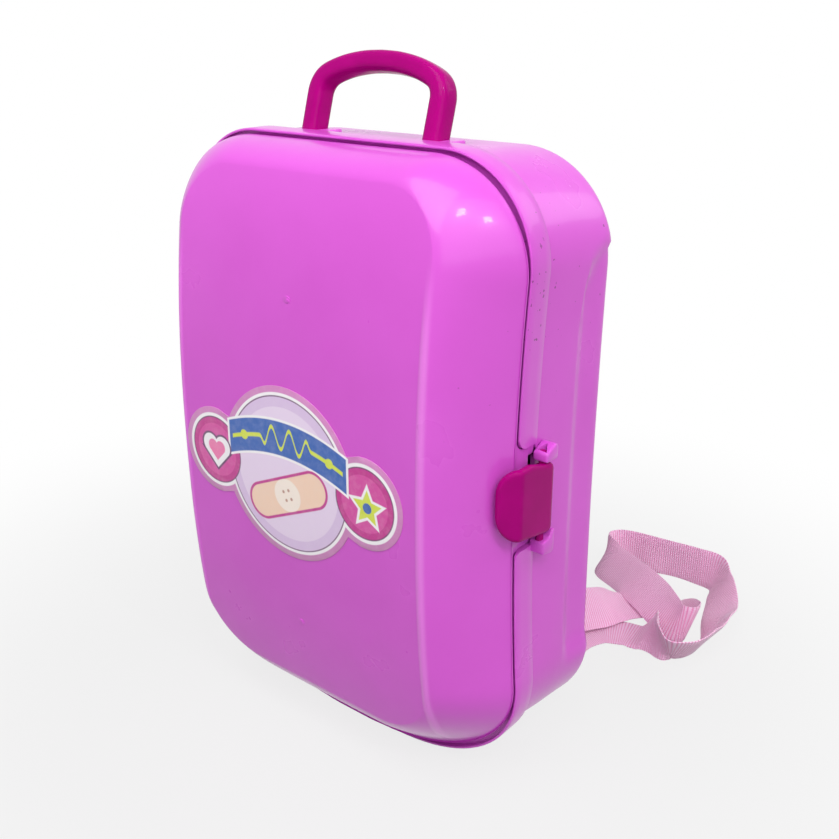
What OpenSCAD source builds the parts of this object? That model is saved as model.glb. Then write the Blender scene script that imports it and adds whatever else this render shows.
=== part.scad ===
// Toy doctor case: two moulded half shells hinged on the left, a side latch,
// a fixed carry handle and two webbing back straps. Millimetres.
// X runs across the width (+X is the latch side), -Y is the front, +Z is up.
// The origin is on the floor, under the middle of the closed case.

/* [Case] */
// Height of the closed case without the handle
case_h = 260; // [250:1:270]
// Width across the corners of the rim
case_w = 177; // [172:1:182]
// Depth of the closed case, front dome to back panel
case_d = 89; // [86:1:92]
// Parting plane, measured forward from the middle of the depth
part_fwd = 11.2; // [10:0.2:12]
// Moulded wall thickness
wall = 2; // [1.6:0.1:2.4]
// How far each long side is drawn in at its middle
waist = 3; // [2:0.5:4]

/* [Corners] */
// Radius of the top corners
top_r = 40; // [37:1:44]
// Height of the bottom corners
low_rz = 50; // [46:1:54]
// Width of the bottom corners
low_rx = 70; // [64:1:74]

/* [Rim] */
// Width of the raised rim band behind the parting plane
band_w = 12; // [10:1:14]
// Step from the rim band down to the back shell's wall
band_step = 2; // [1.5:0.5:2.5]
// Gap between the two half shells when closed
seam = 0.6; // [0.5:0.1:1]

/* [Front dome] */
// Half width of the front panel between its two soft creases
panel_hw = 65.2; // [62:0.2:68]
// Height of the panel's lower edge
panel_low = 28; // [24:1:32]
// Height of the panel's upper edge
panel_top = 248.5; // [246:0.5:250]

/* [Handle] */
// Spacing of the handle's legs where they enter the case
handle_span = 63; // [58:1:68]
// Angle that the handle leans back
handle_lean = 17; // [10:1:20]
// Handle bar, across the grip
bar_x = 8; // [7:0.5:9]
// Handle bar, front to back
bar_y = 10; // [9:0.5:11]

/* [Latch] */
// Height of the latch
latch_h = 29.5; // [27:0.5:31]
// Radius of the latch's stub pins
stub_r = 1.5; // [1.4:0.1:1.6]

/* [Straps] */
// Width of the strap webbing
web_w = 22; // [20:1:24]
// Thickness of the strap webbing
web_t = 1.4; // [1.2:0.1:1.8]

/* [Hidden] */

PINK = "orchid";
MAGENTA = "mediumvioletred";
ROSE = "lightpink";
NATURAL = "ghostwhite";

half_w = case_w / 2;
front_y = -case_d / 2;
back_y = case_d / 2;
part_y = -part_fwd;
door_y = part_y - seam;
door_deep = door_y - front_y;

// ---- outlines in the X-Z plane -------------------------------------------------
EDGE_N = 3;
CORNER_N = 7;
SIDE_AT = [0.04, 0.12, 0.27, 0.42, 0.58, 0.73, 0.88, 0.96];

function side_in(t) = waist * (1 - pow(2 * t - 1, 2));

// Right half of a case outline, from top centre to bottom centre. dip draws the
// straight part of the side in, bow is the share of the waist that it keeps, and
// full is the fullness of the bottom corner, 2 for an ellipse.
function half_outline(hw, z0, z1, rt, rx, rz, bow, dip, full = 2) = concat(
    [for (i = [0 : EDGE_N - 1]) [(hw - rt) * i / EDGE_N, z1]],
    [for (i = [0 : CORNER_N]) let (a = 90 * i / CORNER_N)
        [hw - rt + rt * sin(a), z1 - rt + rt * cos(a)]],
    [for (t = SIDE_AT) [hw - bow * side_in(t) - dip, (z1 - rt) * (1 - t) + (z0 + rz) * t]],
    [for (i = [0 : CORNER_N]) let (a = 90 * i / CORNER_N)
        [hw - rx + rx * pow(cos(a), 2 / full), z0 + rz - rz * pow(sin(a), 2 / full)]],
    [for (i = [1 : EDGE_N]) [(hw - rx) * (1 - i / EDGE_N), z0]]);

function mirrored(h) = concat(h, [for (i = [len(h) - 2 : -1 : 1]) [-h[i][0], h[i][1]]]);
function at_y(outline, y) = [for (p = outline) [p[0], y, p[1]]];

// Case outline drawn in all round by inset. A soft one has more rounded corners, as
// the front shell's edge has inside the rim.
LOW_FULL = 2.2;
SOFT_R = 5;
function case_outline(inset, soft = false) = mirrored(half_outline(
    half_w - inset, inset, case_h - inset, top_r - inset + (soft ? SOFT_R : 0),
    low_rx - inset, low_rz - inset, 1, 0, soft ? 2 : LOW_FULL));

// ---- closed skins --------------------------------------------------------------
function middle(ring) = [for (k = [0 : 2]) (min([for (p = ring) p[k]]) + max([for (p = ring) p[k]])) / 2];

// One closed solid through a run of rings, each end closed by a fan onto a point.
module skin(rings, first, last) {
    n = len(rings[0]);
    m = len(rings);
    points = concat([first, last], [for (r = rings) for (p = r) p]);
    sides = [for (k = [0 : m - 2]) for (i = [0 : n - 1])
        let (j = (i + 1) % n, a = 2 + k * n, b = a + n)
        each [[a + i, a + j, b + j], [a + i, b + j, b + i]]];
    ends = [for (i = [0 : n - 1]) let (j = (i + 1) % n, z = 2 + (m - 1) * n)
        each [[0, 2 + j, 2 + i], [1, z + i, z + j]]];
    polyhedron(points, concat(sides, ends), convexity = 8);
}

// ---- back shell ----------------------------------------------------------------
rear_round = 5;
side_dip = 1.8;
dip_y = 25.3;
lip_deep = 1.8;
lip_t = 1.4;
lip_in = 5.1;
flare = 1.5;

// The outer skin's stations behind the rim band: depth, side inset, bottom inset,
// top inset, side dip, share of the waist.
body_stations = concat(
    [[part_y + band_w + 0.6, band_step, band_step, band_step + 0.5, 0, 0.8],
     [dip_y - 3, 0.3, 0, 3, 0, 0.5],
     [dip_y + 3, -0.2, 0, 3.2, side_dip, 0.35]],
    [for (q = [[1, 0], [0.5, 0.134], [0.134, 0.5], [0, 1]]) let (r = rear_round * q[1])
        [back_y - rear_round * q[0], r - flare, r, r + 3.8, side_dip, 0.3]]);

function body_ring(s, t, y) = at_y(mirrored(half_outline(
    half_w - s[1] - t, s[2] + t, case_h - s[3] - t, top_r - s[1] - t,
    low_rx - s[1] - t, low_rz - s[2] - t, s[5], s[4], LOW_FULL)), y);

module tub_skin() {
    last = len(body_stations) - 1;
    outer = concat(
        [for (i = [last : -1 : 0]) let (s = body_stations[i]) body_ring(s, 0, s[0])],
        [at_y(case_outline(0), part_y + band_w), at_y(case_outline(0), part_y)]);
    lip = [
        at_y(case_outline(lip_in, true), part_y),
        at_y(case_outline(lip_in, true), part_y - lip_deep),
        at_y(case_outline(lip_in + lip_t, true), part_y - lip_deep),
        at_y(case_outline(lip_in + lip_t, true), part_y + band_w * 0.3)];
    inner = [for (i = [0 : last - 1]) let (s = body_stations[i])
        body_ring(s, wall, min(s[0], back_y - wall))];
    skin(concat(outer, lip, inner), [0, back_y, case_h / 2], [0, back_y - wall, case_h / 2]);
}

// Latch bracket: a C of two ears and a spine, open towards the front.
latch_x = 88;
latch_y = 1.2;
latch_z0 = 119;
latch_face = 91.4;
ear_top = 156.5;
ear_z = latch_z0 + latch_h + 0.5;
lower_ear = [106, 114.5];
spine_y = [8, 10.6];
wall_x = 82.4;
ear_x = 84.8;
bore_r = stub_r + 0.06;

module ear(y0, z0, z1) {
    translate([ear_x, y0, z0]) cube([latch_face - ear_x, spine_y[1] - y0, z1 - z0]);
    translate([wall_x, notch_y, z0]) cube([latch_face - 1 - wall_x, spine_y[1] - notch_y, z1 - z0]);
}

module latch_bracket() {
    ear(-5, ear_z, ear_top);
    ear(-2, lower_ear[0], lower_ear[1]);
    translate([wall_x, spine_y[0], lower_ear[0]])
        cube([latch_face - 1 - wall_x, spine_y[1] - spine_y[0], ear_top - lower_ear[0]]);
}

module latch_bracket_holes() {
    translate([latch_x, latch_y, lower_ear[0] - 1])
        cylinder(r = bore_r, h = lower_ear[1] - lower_ear[0] + 2, $fn = 48);
    translate([latch_x, latch_y, ear_z - 1])
        cylinder(r = bore_r, h = ear_top - ear_z - 0.5, $fn = 48);
    // Three-sided window through which the stub pin's end shows
    translate([latch_x, latch_y, ear_top - 5.6]) rotate([90, 0, 90])
        linear_extrude(latch_face - latch_x + 1) polygon([[-2.6, 0], [2.8, 0], [2.8, 3.6]]);
}

// Notch in the rim band that the front shell's tab fills
notch_z = [111.3, 153.8];
notch_y = 1.6;
module rim_notch() {
    front = part_y - lip_deep - 1;
    translate([wall_x - 6, 0, 0]) rotate([90, 0, 90]) linear_extrude(14) polygon(concat(
        [[notch_y, notch_z[0]], [notch_y, notch_z[1]]],
        [[part_y + 4.4, notch_z[1]], [part_y + 2, notch_z[1] + 1.4], [part_y + 0.5, notch_z[1] + 4]],
        [[part_y, notch_z[1] + 5.5], [front, notch_z[1] + 5.5]],
        [[front, notch_z[0] - 2.5], [part_y, notch_z[0] - 2.5], [part_y + 2.4, notch_z[0]]]));
}

// Hinges on the left side: knuckles whose axis lies in the seam
hinge_x = -90.6;
hinge_y = part_y - seam / 2;
hinge_at = [195, 80];
knuckle_r = 3;
knuckle_h = 7;
mid_h = 9;
pin_r = 1.25;

module tub_knuckles(z) {
    for (s = [-1, 1]) translate([0, 0, z + s * (mid_h / 2 + 0.4 + knuckle_h / 2)]) {
        translate([hinge_x, hinge_y, -knuckle_h / 2]) cylinder(r = knuckle_r, h = knuckle_h, $fn = 48);
        translate([hinge_x - knuckle_r + 0.6, hinge_y + 0.6, -knuckle_h / 2])
            cube([knuckle_r * 2 + 2, 5, knuckle_h]);
    }
}

module hinge_bores(r) {
    for (z = hinge_at) translate([hinge_x, hinge_y, z - 20]) cylinder(r = r, h = 40, $fn = 48);
}

// Handle sockets in the roof of the back shell, which lean back with the handle
handle_y = 6.5;
leg_x = handle_span / 2;
roof_z = case_h - 2.7;
seat_z = case_h - 0.6;
fit_gap = 0.15;

module leaned() {
    translate([0, handle_y, roof_z]) rotate([-handle_lean, 0, 0]) children();
}

module handle_seats() {
    for (s = [-1, 1]) {
        translate([s * leg_x - 9, handle_y - 7, roof_z - 2]) cube([18, 14.5, seat_z - roof_z + 2]);
        leaned() translate([s * leg_x - 6.5, -6.5, -9]) cube([13, 13, 8]);
    }
}

module handle_holes() {
    leaned() for (s = [-1, 1]) translate([s * leg_x, 0, 0])
        cube([bar_x + 2 * fit_gap, bar_y + 2 * fit_gap, 40], center = true);
}

// Strap slots in the back panel, and the pads inside that the keepers bear on
slot_upper = [38, 214];
slot_lower = [48, 30];
slot_h = 3.2;
slot_w = web_w + 2;

module strap_slots() {
    for (s = [-1, 1], q = [slot_upper, slot_lower])
        translate([s * q[0], back_y, q[1]]) cube([slot_w, 12, slot_h], center = true);
}

// Two upright stiffening ribs on the inside of the back panel
module inner_ribs() {
    for (s = [-1, 1]) translate([s * 16 - 0.8, back_y - wall - 3, 60]) cube([1.6, 3.5, 140]);
}

module back_shell() {
    color(PINK) difference() {
        union() {
            difference() {
                tub_skin();
                rim_notch();
            }
            handle_seats();
            latch_bracket();
            for (z = hinge_at) tub_knuckles(z);
            inner_ribs();
        }
        latch_bracket_holes();
        hinge_bores(pin_r);
        handle_holes();
        strap_slots();
    }
}

// ---- front shell ---------------------------------------------------------------
edge_in = 0.8;
dome_mid = 129.5;
dome_half = 142;
dome_pow = 2.24;
crease_pow = 1.42;

// Share of the dome's full depth at height z: the panel is bowed top to bottom.
function dome(z) = pow(1 - pow(min(1, abs(z - dome_mid) / dome_half), dome_pow), 1 / dome_pow);

panel_tr = 24;
panel_lr = 29;
function panel_outline(inset) = mirrored(half_outline(panel_hw - inset, panel_low + inset,
    panel_top - inset, panel_tr, panel_lr, panel_lr, 0, 0));

// How much an outline point belongs to the top edge, which is rounded, and not to
// the sides and bottom, which fall away as nearly straight bevels.
half_n = len(half_outline(10, 0, 30, 2, 2, 2, 0, 0));
function top_share(i) = let (k = i < half_n ? i : 2 * half_n - 2 - i)
    k < EDGE_N ? 1 : k <= EDGE_N + CORNER_N ? pow(cos(90 * (k - EDGE_N) / CORNER_N), 2) : 0;

function fall(r, share) = (1 - share) * (1 - pow(r, crease_pow)) + share * sqrt(1 - r * r);

function dome_ring(r, inset) =
    let (rim = case_outline(edge_in + inset, true), panel = panel_outline(inset * 0.6))
    [for (i = [0 : len(rim) - 1])
        let (p = panel[i] + (rim[i] - panel[i]) * r)
        [p[0], door_y - (door_deep - inset) * dome(p[1]) * fall(r, top_share(i)), p[1]]];

function panel_ring(s, inset) =
    [for (p = panel_outline(inset * 0.6))
        let (x = p[0] * s, z = dome_mid + (p[1] - dome_mid) * s)
        [x, door_y - (door_deep - inset) * dome(z), z]];

BEVEL = [1, 0.94, 0.84, 0.68, 0.5, 0.32, 0.16, 0];
PANEL = [0.85, 0.62, 0.36, 0.14];

module dome_skin() {
    outer = concat([for (r = BEVEL) dome_ring(r, 0)], [for (s = PANEL) panel_ring(s, 0)]);
    inner = concat([for (i = [len(PANEL) - 1 : -1 : 0]) panel_ring(PANEL[i], wall)],
                   [for (i = [len(BEVEL) - 1 : -1 : 0]) dome_ring(BEVEL[i], wall)]);
    skin(concat(inner, outer), [0, front_y + wall, dome_mid], [0, front_y, dome_mid]);
}

tab_x = [82.3, 84.1];
tab_end = 5.6;
module catch_tab() {
    z0 = notch_z[0] + 2;
    tall = notch_z[1] - notch_z[0] - 4;
    thick = tab_x[1] - tab_x[0];
    translate([tab_x[0] - 1, door_y - 2.5, z0]) cube([thick + 0.4, 3, tall]);
    translate([tab_x[0], door_y - 0.5, z0]) cube([thick, 9.5, tall]);
    for (z = [z0, latch_z0 + latch_h + 0.7]) translate([tab_x[0], door_y - 0.5, z])
        cube([thick, notch_y - 0.8 - door_y, z == z0 ? tab_end : z0 + tall - z]);
    // Ridge that the latch hooks over
    translate([tab_x[1] - 0.5, door_y + 2.6, latch_z0 + 3]) cube([1.9, 1.8, latch_h - 6]);
}

module door_knuckles() {
    for (z = hinge_at) translate([0, 0, z - mid_h / 2]) {
        translate([hinge_x, hinge_y, 0]) cylinder(r = knuckle_r, h = mid_h, $fn = 48);
        translate([hinge_x - knuckle_r + 0.6, hinge_y - 4.6, 0]) cube([knuckle_r * 2 + 3.4, 4, mid_h]);
    }
}

module front_shell() {
    color(PINK) difference() {
        union() {
            dome_skin();
            catch_tab();
            door_knuckles();
        }
        hinge_bores(pin_r + 0.06);
    }
}

// ---- hinge pins ----------------------------------------------------------------
module hinge_pin(z) {
    length = mid_h + 0.8 + 2 * knuckle_h;
    color(NATURAL) translate([hinge_x, hinge_y, z - length / 2]) {
        cylinder(r = pin_r, h = length, $fn = 48);
        translate([0, 0, length]) cylinder(r = 2, h = 1, $fn = 48);
    }
}
module hinge_pin_upper() { hinge_pin(hinge_at[0]); }
module hinge_pin_lower() { hinge_pin(hinge_at[1]); }

// ---- side latch ----------------------------------------------------------------
latch_t = 3.5;
bend_y = -15.5;
nose_len = 8;
nose_turn = 47;

function arc(cx, cy, r, a0, a1, n) = [for (i = [0 : n]) let (a = a0 + (a1 - a0) * i / n)
    [cx + r * cos(a), cy + r * sin(a)]];

// Plan of the latch plate: straight along the side, then bent round the bevel.
module latch_plan() {
    x0 = latch_face - latch_t;
    ux = -cos(nose_turn);
    uy = -sin(nose_turn);
    polygon(concat(
        [[x0, latch_y], [latch_face, latch_y]],
        arc(x0, bend_y, latch_t, 0, nose_turn - 90, 6),
        arc(x0 + nose_len * ux + latch_t / 2 * -uy, bend_y + nose_len * uy + latch_t / 2 * ux,
            latch_t / 2, nose_turn - 90, nose_turn - 270, 6),
        [[x0, bend_y]]));
}

// Side view of the latch: large round front corners, small rear ones.
module latch_side() {
    y0 = -24.5;
    y1 = latch_y + 4;
    big = 12;
    small = 2;
    polygon(concat(
        arc(y0 + big, latch_h - big, big, 180, 90, 10), arc(y1 - small, latch_h - small, small, 90, 0, 4),
        arc(y1 - small, small, small, 0, -90, 4), arc(y0 + big, big, big, -90, -180, 10)));
}

module side_latch() {
    color(MAGENTA) {
        intersection() {
            translate([0, 0, latch_z0]) linear_extrude(latch_h) latch_plan();
            translate([70, 0, latch_z0]) rotate([90, 0, 90]) linear_extrude(30) latch_side();
        }
        translate([latch_x, latch_y, latch_z0]) cylinder(r = latch_face - latch_x, h = latch_h, $fn = 48);
        translate([latch_x, latch_y, lower_ear[0] + 0.5])
            cylinder(r = stub_r, h = ear_top - 2.2 - lower_ear[0] - 0.5, $fn = 48);
        // Lug that catches the ridge on the front shell's tab
        translate([tab_x[1] + 0.5, door_y + 0.5, latch_z0 + 4])
            cube([latch_face - latch_t - tab_x[1], 1.6, latch_h - 8]);
    }
}

// ---- carry handle --------------------------------------------------------------
// Half of the handle's centre line in its own leaning plane, from inside the socket
// to the middle of the grip: sideways, then up from the roof.
HANDLE_HALF = [[31.5, -13], [31.5, 3], [31.5, 14], [31.3, 18.4], [29.9, 22], [27.2, 24.8],
               [22.2, 27.3], [16, 29.1], [8, 30.5], [0, 31]];
function handle_half() = [for (p = HANDLE_HALF) [p[0] * handle_span / 63, p[1]]];

function handle_path() = let (h = handle_half())
    concat(h, [for (i = [len(h) - 2 : -1 : 0]) [-h[i][0], h[i][1]]]);

BAR_SIDES = 12;
function bar_ring(p, q, o) =
    let (d = (q - o) / norm(q - o), nx = -d[1], nz = d[0])
    [for (i = [0 : BAR_SIDES - 1])
        let (a = 360 * i / BAR_SIDES, u = cos(a), v = sin(a),
             k = pow(pow(abs(u), 4) + pow(abs(v), 4), -0.25))
        [p[0] + nx * u * k * bar_x / 2, v * k * bar_y / 2, p[1] + nz * u * k * bar_x / 2]];

module carry_handle() {
    path = handle_path();
    m = len(path);
    rings = [for (i = [0 : m - 1]) bar_ring(path[i], path[min(i + 1, m - 1)], path[max(i - 1, 0)])];
    color(MAGENTA) leaned() {
        skin(rings, middle(rings[0]), middle(rings[m - 1]));
        // Snap barbs under the sockets
        for (s = [-1, 1]) translate([s * leg_x, 0, -11.6]) cube([bar_x - 2, bar_y + 3, 4.6], center = true);
    }
}

// ---- front sticker -------------------------------------------------------------
sticker_at = [-3, 131];
sticker_t = 0.3;
disc_r = 37;
lobe_r = 19;
lobe_x = 42;
STICKER_N = 48;

// Distance from the sticker's middle to its edge in direction a: a disc with a
// smaller round lobe on each side.
function lobe_edge(a) = let (c = abs(lobe_x * cos(a)), h = lobe_x * sin(a))
    abs(h) < lobe_r ? c + sqrt(lobe_r * lobe_r - h * h) : 0;
function sticker_edge(a) = max(disc_r, lobe_edge(a));
function sticker_ring(s, out) = [for (i = [0 : STICKER_N - 1])
    let (a = -360 * i / STICKER_N, r = sticker_edge(a) * s,
         x = sticker_at[0] + r * cos(a), z = sticker_at[1] + r * sin(a))
    [x, door_y - door_deep * dome(z) - out, z]];

module front_sticker() {
    steps = [0.25, 0.5, 0.75, 1];
    z = sticker_at[1];
    y = door_y - door_deep * dome(z);
    color(ROSE) skin(
        concat([for (s = steps) sticker_ring(s, 0.05)],
               [for (i = [3 : -1 : 0]) sticker_ring(steps[i], 0.05 + sticker_t)]),
        [sticker_at[0], y - 0.05, z], [sticker_at[0], y - 0.05 - sticker_t, z]);
}

// ---- straps --------------------------------------------------------------------
// A webbing strap's route: the middle of the webbing, then the way its width lies.
in_y = back_y - 5;
floor_z = web_t / 2 + 0.1;
edge_z = web_w / 2 + 0.6;

right_route = [
    [48, in_y, 30, -1, 0, 0], [48, 48.5, 30, -1, 0, 0], [49, 54.5, 22, -1, 0, 0],
    [49, 62, 8, -1, 0, 0], [49, 74, floor_z, -1, 0, 0], [48, 90, floor_z, -1, 0.1, 0],
    [48, 104, floor_z, -0.9, 0.4, 0], [54, 117, floor_z, -0.6, 0.8, 0],
    [64, 123, floor_z, -0.41, 0.91, 0], [72.5, 125, floor_z, -0.4, 0.9, 0],
    [77.2, 125.4, 4.8, -0.39, 0.8, 0.4], [81.6, 123, 9, -0.36, 0.48, 0.8],
    [86.4, 118, 11.2, -0.2, -0.09, 0.97], [91.2, 113.8, 10.6, -0.1, -0.42, 0.89],
    [96.7, 112.8, 9.8, 0.08, -0.58, 0.81], [101.8, 116.7, 9.3, 0.23, -0.57, 0.77],
    [105, 122.5, 8.8, 0.32, -0.55, 0.73], [106.3, 131, 8.3, 0.4, -0.54, 0.69],
    [105.5, 144.8, 7.4, 0.55, -0.5, 0.62], [99, 165, 6.4, 0.8, -0.2, 0.52],
    [90.5, 183, 8, 0.6, 0, 0.78], [84, 193.5, 11.5, 0.2, 0.15, 0.98],
    [71, 195.2, 11.6, 0.14, 0.06, 0.99], [58, 194.4, 11.6, 0.18, 0.02, 0.98],
    [44.8, 191.8, 11.6, 0.07, 0.11, 0.99], [33.5, 190.4, 11.5, 0, 0.1, 1],
    [25.5, 186, 11.3, 0, 0.3, 0.95], [23, 178, 11.2, 0.07, 0.55, 0.83],
    [29, 170, 11, 0.2, 0.62, 0.76], [42, 163, 11.8, 0.35, 0.63, 0.7],
    [55, 155, 13, 0.36, 0.64, 0.68], [68, 147, 13.4, 0.36, 0.62, 0.68],
    [80, 139, 12, 0.36, 0.42, 0.83], [88.5, 134.8, 10.6, 0.34, 0.15, 0.93],
    [93.6, 136.4, 10.4, 0.25, 0.1, 0.96], [94, 141.6, 10, 0.15, 0.2, 0.97],
    [88.5, 146.5, 8.6, 0.08, 0.55, 0.82], [80.5, 150, 5.2, -0.05, 0.9, 0.4],
    [71, 152, 3, -0.15, 0.97, 0.04], [61, 149, 3.4, -0.4, 0.9, 0],
    [54, 140.5, 5.4, -0.62, 0.75, 0.12], [51.5, 132.5, 8.6, -0.65, 0.62, 0.35],
    [50.5, 124.5, 10.6, -0.6, 0.5, 0.62], [46.5, 114, 12.6, -0.5, 0.4, 0.75],
    [41, 102, 13.4, -0.25, 0.3, 0.9], [37.5, 90, 16.5, 0.1, 0.2, 0.97],
    [35.5, 78, 23, 0.55, 0.1, 0.8], [34.5, 67, 37, 0.9, 0, 0.4], [35, 59.5, 60, 1, 0, 0.1],
    [36, 54, 100, 1, 0, 0], [37, 51.5, 150, 1, 0, 0], [38, 50, 195, 1, 0, 0],
    [38, 49.5, 209, 1, 0, 0], [38, 47, 213.4, 1, 0, 0], [38, in_y, 214, 1, 0, 0]];

left_route = [
    [-48, in_y, 30, 1, 0, 0], [-48, 48.5, 30, 1, 0, 0], [-49, 54.5, 22, 1, 0, 0], [-50, 62, 7, 1, 0, 0],
    [-51, 74, floor_z, 1, 0, 0], [-55, 92, floor_z, 1, 0.2, 0], [-57, 110, floor_z, 1, 0.1, 0],
    [-53, 126, floor_z, 0.9, -0.4, 0], [-43, 138, floor_z, 0.5, -0.8, 0], [-28, 142, 1.2, 0, -1, 0.1],
    [-14, 136, 4, -0.5, -0.8, 0.3], [-8, 123, 8, -0.8, -0.2, 0.6], [-10, 109, 10, -0.6, 0.2, 0.8],
    [-17, 96, edge_z, -0.3, 0.1, 1], [-24, 84, 14, 0.3, -0.1, 0.9], [-30, 72, 24, 0.8, 0, 0.5],
    [-34, 62, 46, 1, 0, 0.1], [-36, 55, 90, 1, 0, 0], [-37, 51.5, 145, 1, 0, 0], [-38, 50, 195, 1, 0, 0],
    [-38, 49.5, 209, 1, 0, 0], [-38, 47, 213.4, 1, 0, 0], [-38, in_y, 214, 1, 0, 0]];

// Smooth curve through the route: a cubic between each pair of points
function cubic(a, b, c, d, t) = ((2 * b) + (c - a) * t + (2 * a - 5 * b + 4 * c - d) * t * t
    + (3 * b - a - 3 * c + d) * t * t * t) / 2;
function smooth_route(r, n) = let (m = len(r)) concat(
    [for (i = [0 : m - 2]) for (k = [0 : n - 1])
        cubic(r[max(i - 1, 0)], r[i], r[i + 1], r[min(i + 2, m - 1)], k / n)],
    [r[m - 1]]);

function place(v) = [v[0], v[1], v[2]];
function width_way(v) = [v[3], v[4], v[5]];
function unit(v) = v / norm(v);

// One section of the webbing. It is lifted where its edge would dip into the floor.
function web_ring(p, d) =
    let (t = unit(d), w0 = width_way(p), w = unit(w0 - (w0 * t) * t), n = cross(t, w),
         a = w * web_w / 2, b = n * web_t / 2,
         c = [p[0], p[1], max(p[2], abs(a[2]) + abs(b[2]) + 0.1)])
    [c + a + b, c + a - b, c - a - b, c - a + b];

module strap(route) {
    pts = smooth_route(route, 2);
    m = len(pts);
    rings = [for (i = [0 : m - 1])
        web_ring(pts[i], place(pts[min(i + 1, m - 1)]) - place(pts[max(i - 1, 0)]))];
    color(ROSE) skin(rings, place(pts[0]), place(pts[m - 1]));
}
module strap_right() { strap(right_route); }
module strap_left() { strap(left_route); }

// Keepers: slotted bars inside the back panel that hold the strap ends
keeper = [30, 2.4, 9];
keeper_y = back_y - wall - keeper[1] - 0.3;
module strap_keeper(x, z) {
    color(NATURAL) translate([x, keeper_y + keeper[1] / 2, z]) difference() {
        cube(keeper, center = true);
        cube([web_w + 0.6, keeper[1] + 2, web_t + 1.2], center = true);
    }
}
module strap_keeper_upper_right() { strap_keeper(slot_upper[0], slot_upper[1]); }
module strap_keeper_upper_left() { strap_keeper(-slot_upper[0], slot_upper[1]); }
module strap_keeper_lower_right() { strap_keeper(slot_lower[0], slot_lower[1]); }
module strap_keeper_lower_left() { strap_keeper(-slot_lower[0], slot_lower[1]); }

back_shell();
front_shell();
carry_handle();
side_latch();
hinge_pin_upper();
hinge_pin_lower();
front_sticker();
strap_right();
strap_left();
strap_keeper_upper_right();
strap_keeper_upper_left();
strap_keeper_lower_right();
strap_keeper_lower_left();
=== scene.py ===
"""Toy doctor case: two moulded half shells hinged on the left, a side latch, a fixed
carry handle and two webbing back straps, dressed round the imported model.
Sizes are in millimetres until a mesh is made; every mesh is in metres."""
import math

import bmesh
import bpy
import numpy as np
from mathutils import Matrix, Vector


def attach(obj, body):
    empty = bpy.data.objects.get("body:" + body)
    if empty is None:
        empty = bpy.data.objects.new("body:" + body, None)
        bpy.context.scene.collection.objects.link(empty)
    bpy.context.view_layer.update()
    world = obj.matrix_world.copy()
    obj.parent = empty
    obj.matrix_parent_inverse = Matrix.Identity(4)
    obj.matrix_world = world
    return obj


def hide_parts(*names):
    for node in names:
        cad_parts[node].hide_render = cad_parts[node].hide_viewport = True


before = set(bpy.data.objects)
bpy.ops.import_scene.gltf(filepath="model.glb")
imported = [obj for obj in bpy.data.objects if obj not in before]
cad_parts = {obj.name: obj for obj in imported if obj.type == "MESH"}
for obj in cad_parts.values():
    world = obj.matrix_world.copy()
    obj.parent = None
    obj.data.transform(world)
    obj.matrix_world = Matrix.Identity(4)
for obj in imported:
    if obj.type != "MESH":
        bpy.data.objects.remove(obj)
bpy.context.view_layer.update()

# ---- Camera --------------------------------------------------------------------
# The photograph's own viewpoint: above the front right corner, looking down. Its
# place, lens and slight roll come from fitting the case's outline and rim.
CAMERA_PLACE = (0.28213, -0.3078, 0.30527)
CAMERA_AZIMUTH, CAMERA_DOWN, CAMERA_ROLL = math.radians(39.41), math.radians(21.38), math.radians(-0.11)
FOCAL_PIXELS, PICTURE_PIXELS = 1052.56, 839

camera = bpy.data.objects.new("camera", bpy.data.cameras.new("camera"))
bpy.context.scene.collection.objects.link(camera)
bpy.context.scene.camera = camera
camera.data.sensor_width = 36
camera.data.lens = FOCAL_PIXELS * 36 / PICTURE_PIXELS
camera.data.clip_start, camera.data.clip_end = 0.01, 20
back = Vector((math.sin(CAMERA_AZIMUTH) * math.cos(CAMERA_DOWN),
               -math.cos(CAMERA_AZIMUTH) * math.cos(CAMERA_DOWN), math.sin(CAMERA_DOWN)))
right = (-back).cross(Vector((0, 0, 1))).normalized()
up = back.cross(right)
side_way = right * math.cos(CAMERA_ROLL) + up * math.sin(CAMERA_ROLL)
up_way = up * math.cos(CAMERA_ROLL) - right * math.sin(CAMERA_ROLL)
camera.matrix_world = (Matrix.Translation(CAMERA_PLACE)
                       @ Matrix((side_way, up_way, back)).transposed().to_4x4())

# ---- Moulded shells: outline and skins -----------------------------------------
# Both half shells are thin injection-moulded plastic whose wall follows one outline,
# drawn in at the waist, with round top corners and longer oval bottom corners.
MM = 0.001
CASE_H, CASE_W, CASE_D = 260, 177, 89
WALL, WAIST = 2, 3
TOP_R, LOW_RX, LOW_RZ, LOW_FULL, SOFT_R = 40, 70, 50, 2.2, 5
HALF_W, FRONT_Y, BACK_Y = CASE_W / 2, -CASE_D / 2, CASE_D / 2
PART_Y, SEAM = -11.2, 0.6
DOOR_Y = PART_Y - SEAM
EDGE_STEPS, CORNER_STEPS, SIDE_STEPS = 10, 22, 44


def ease(t):
    t = min(1, max(0, t))
    return t * t * (3 - 2 * t)


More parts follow.
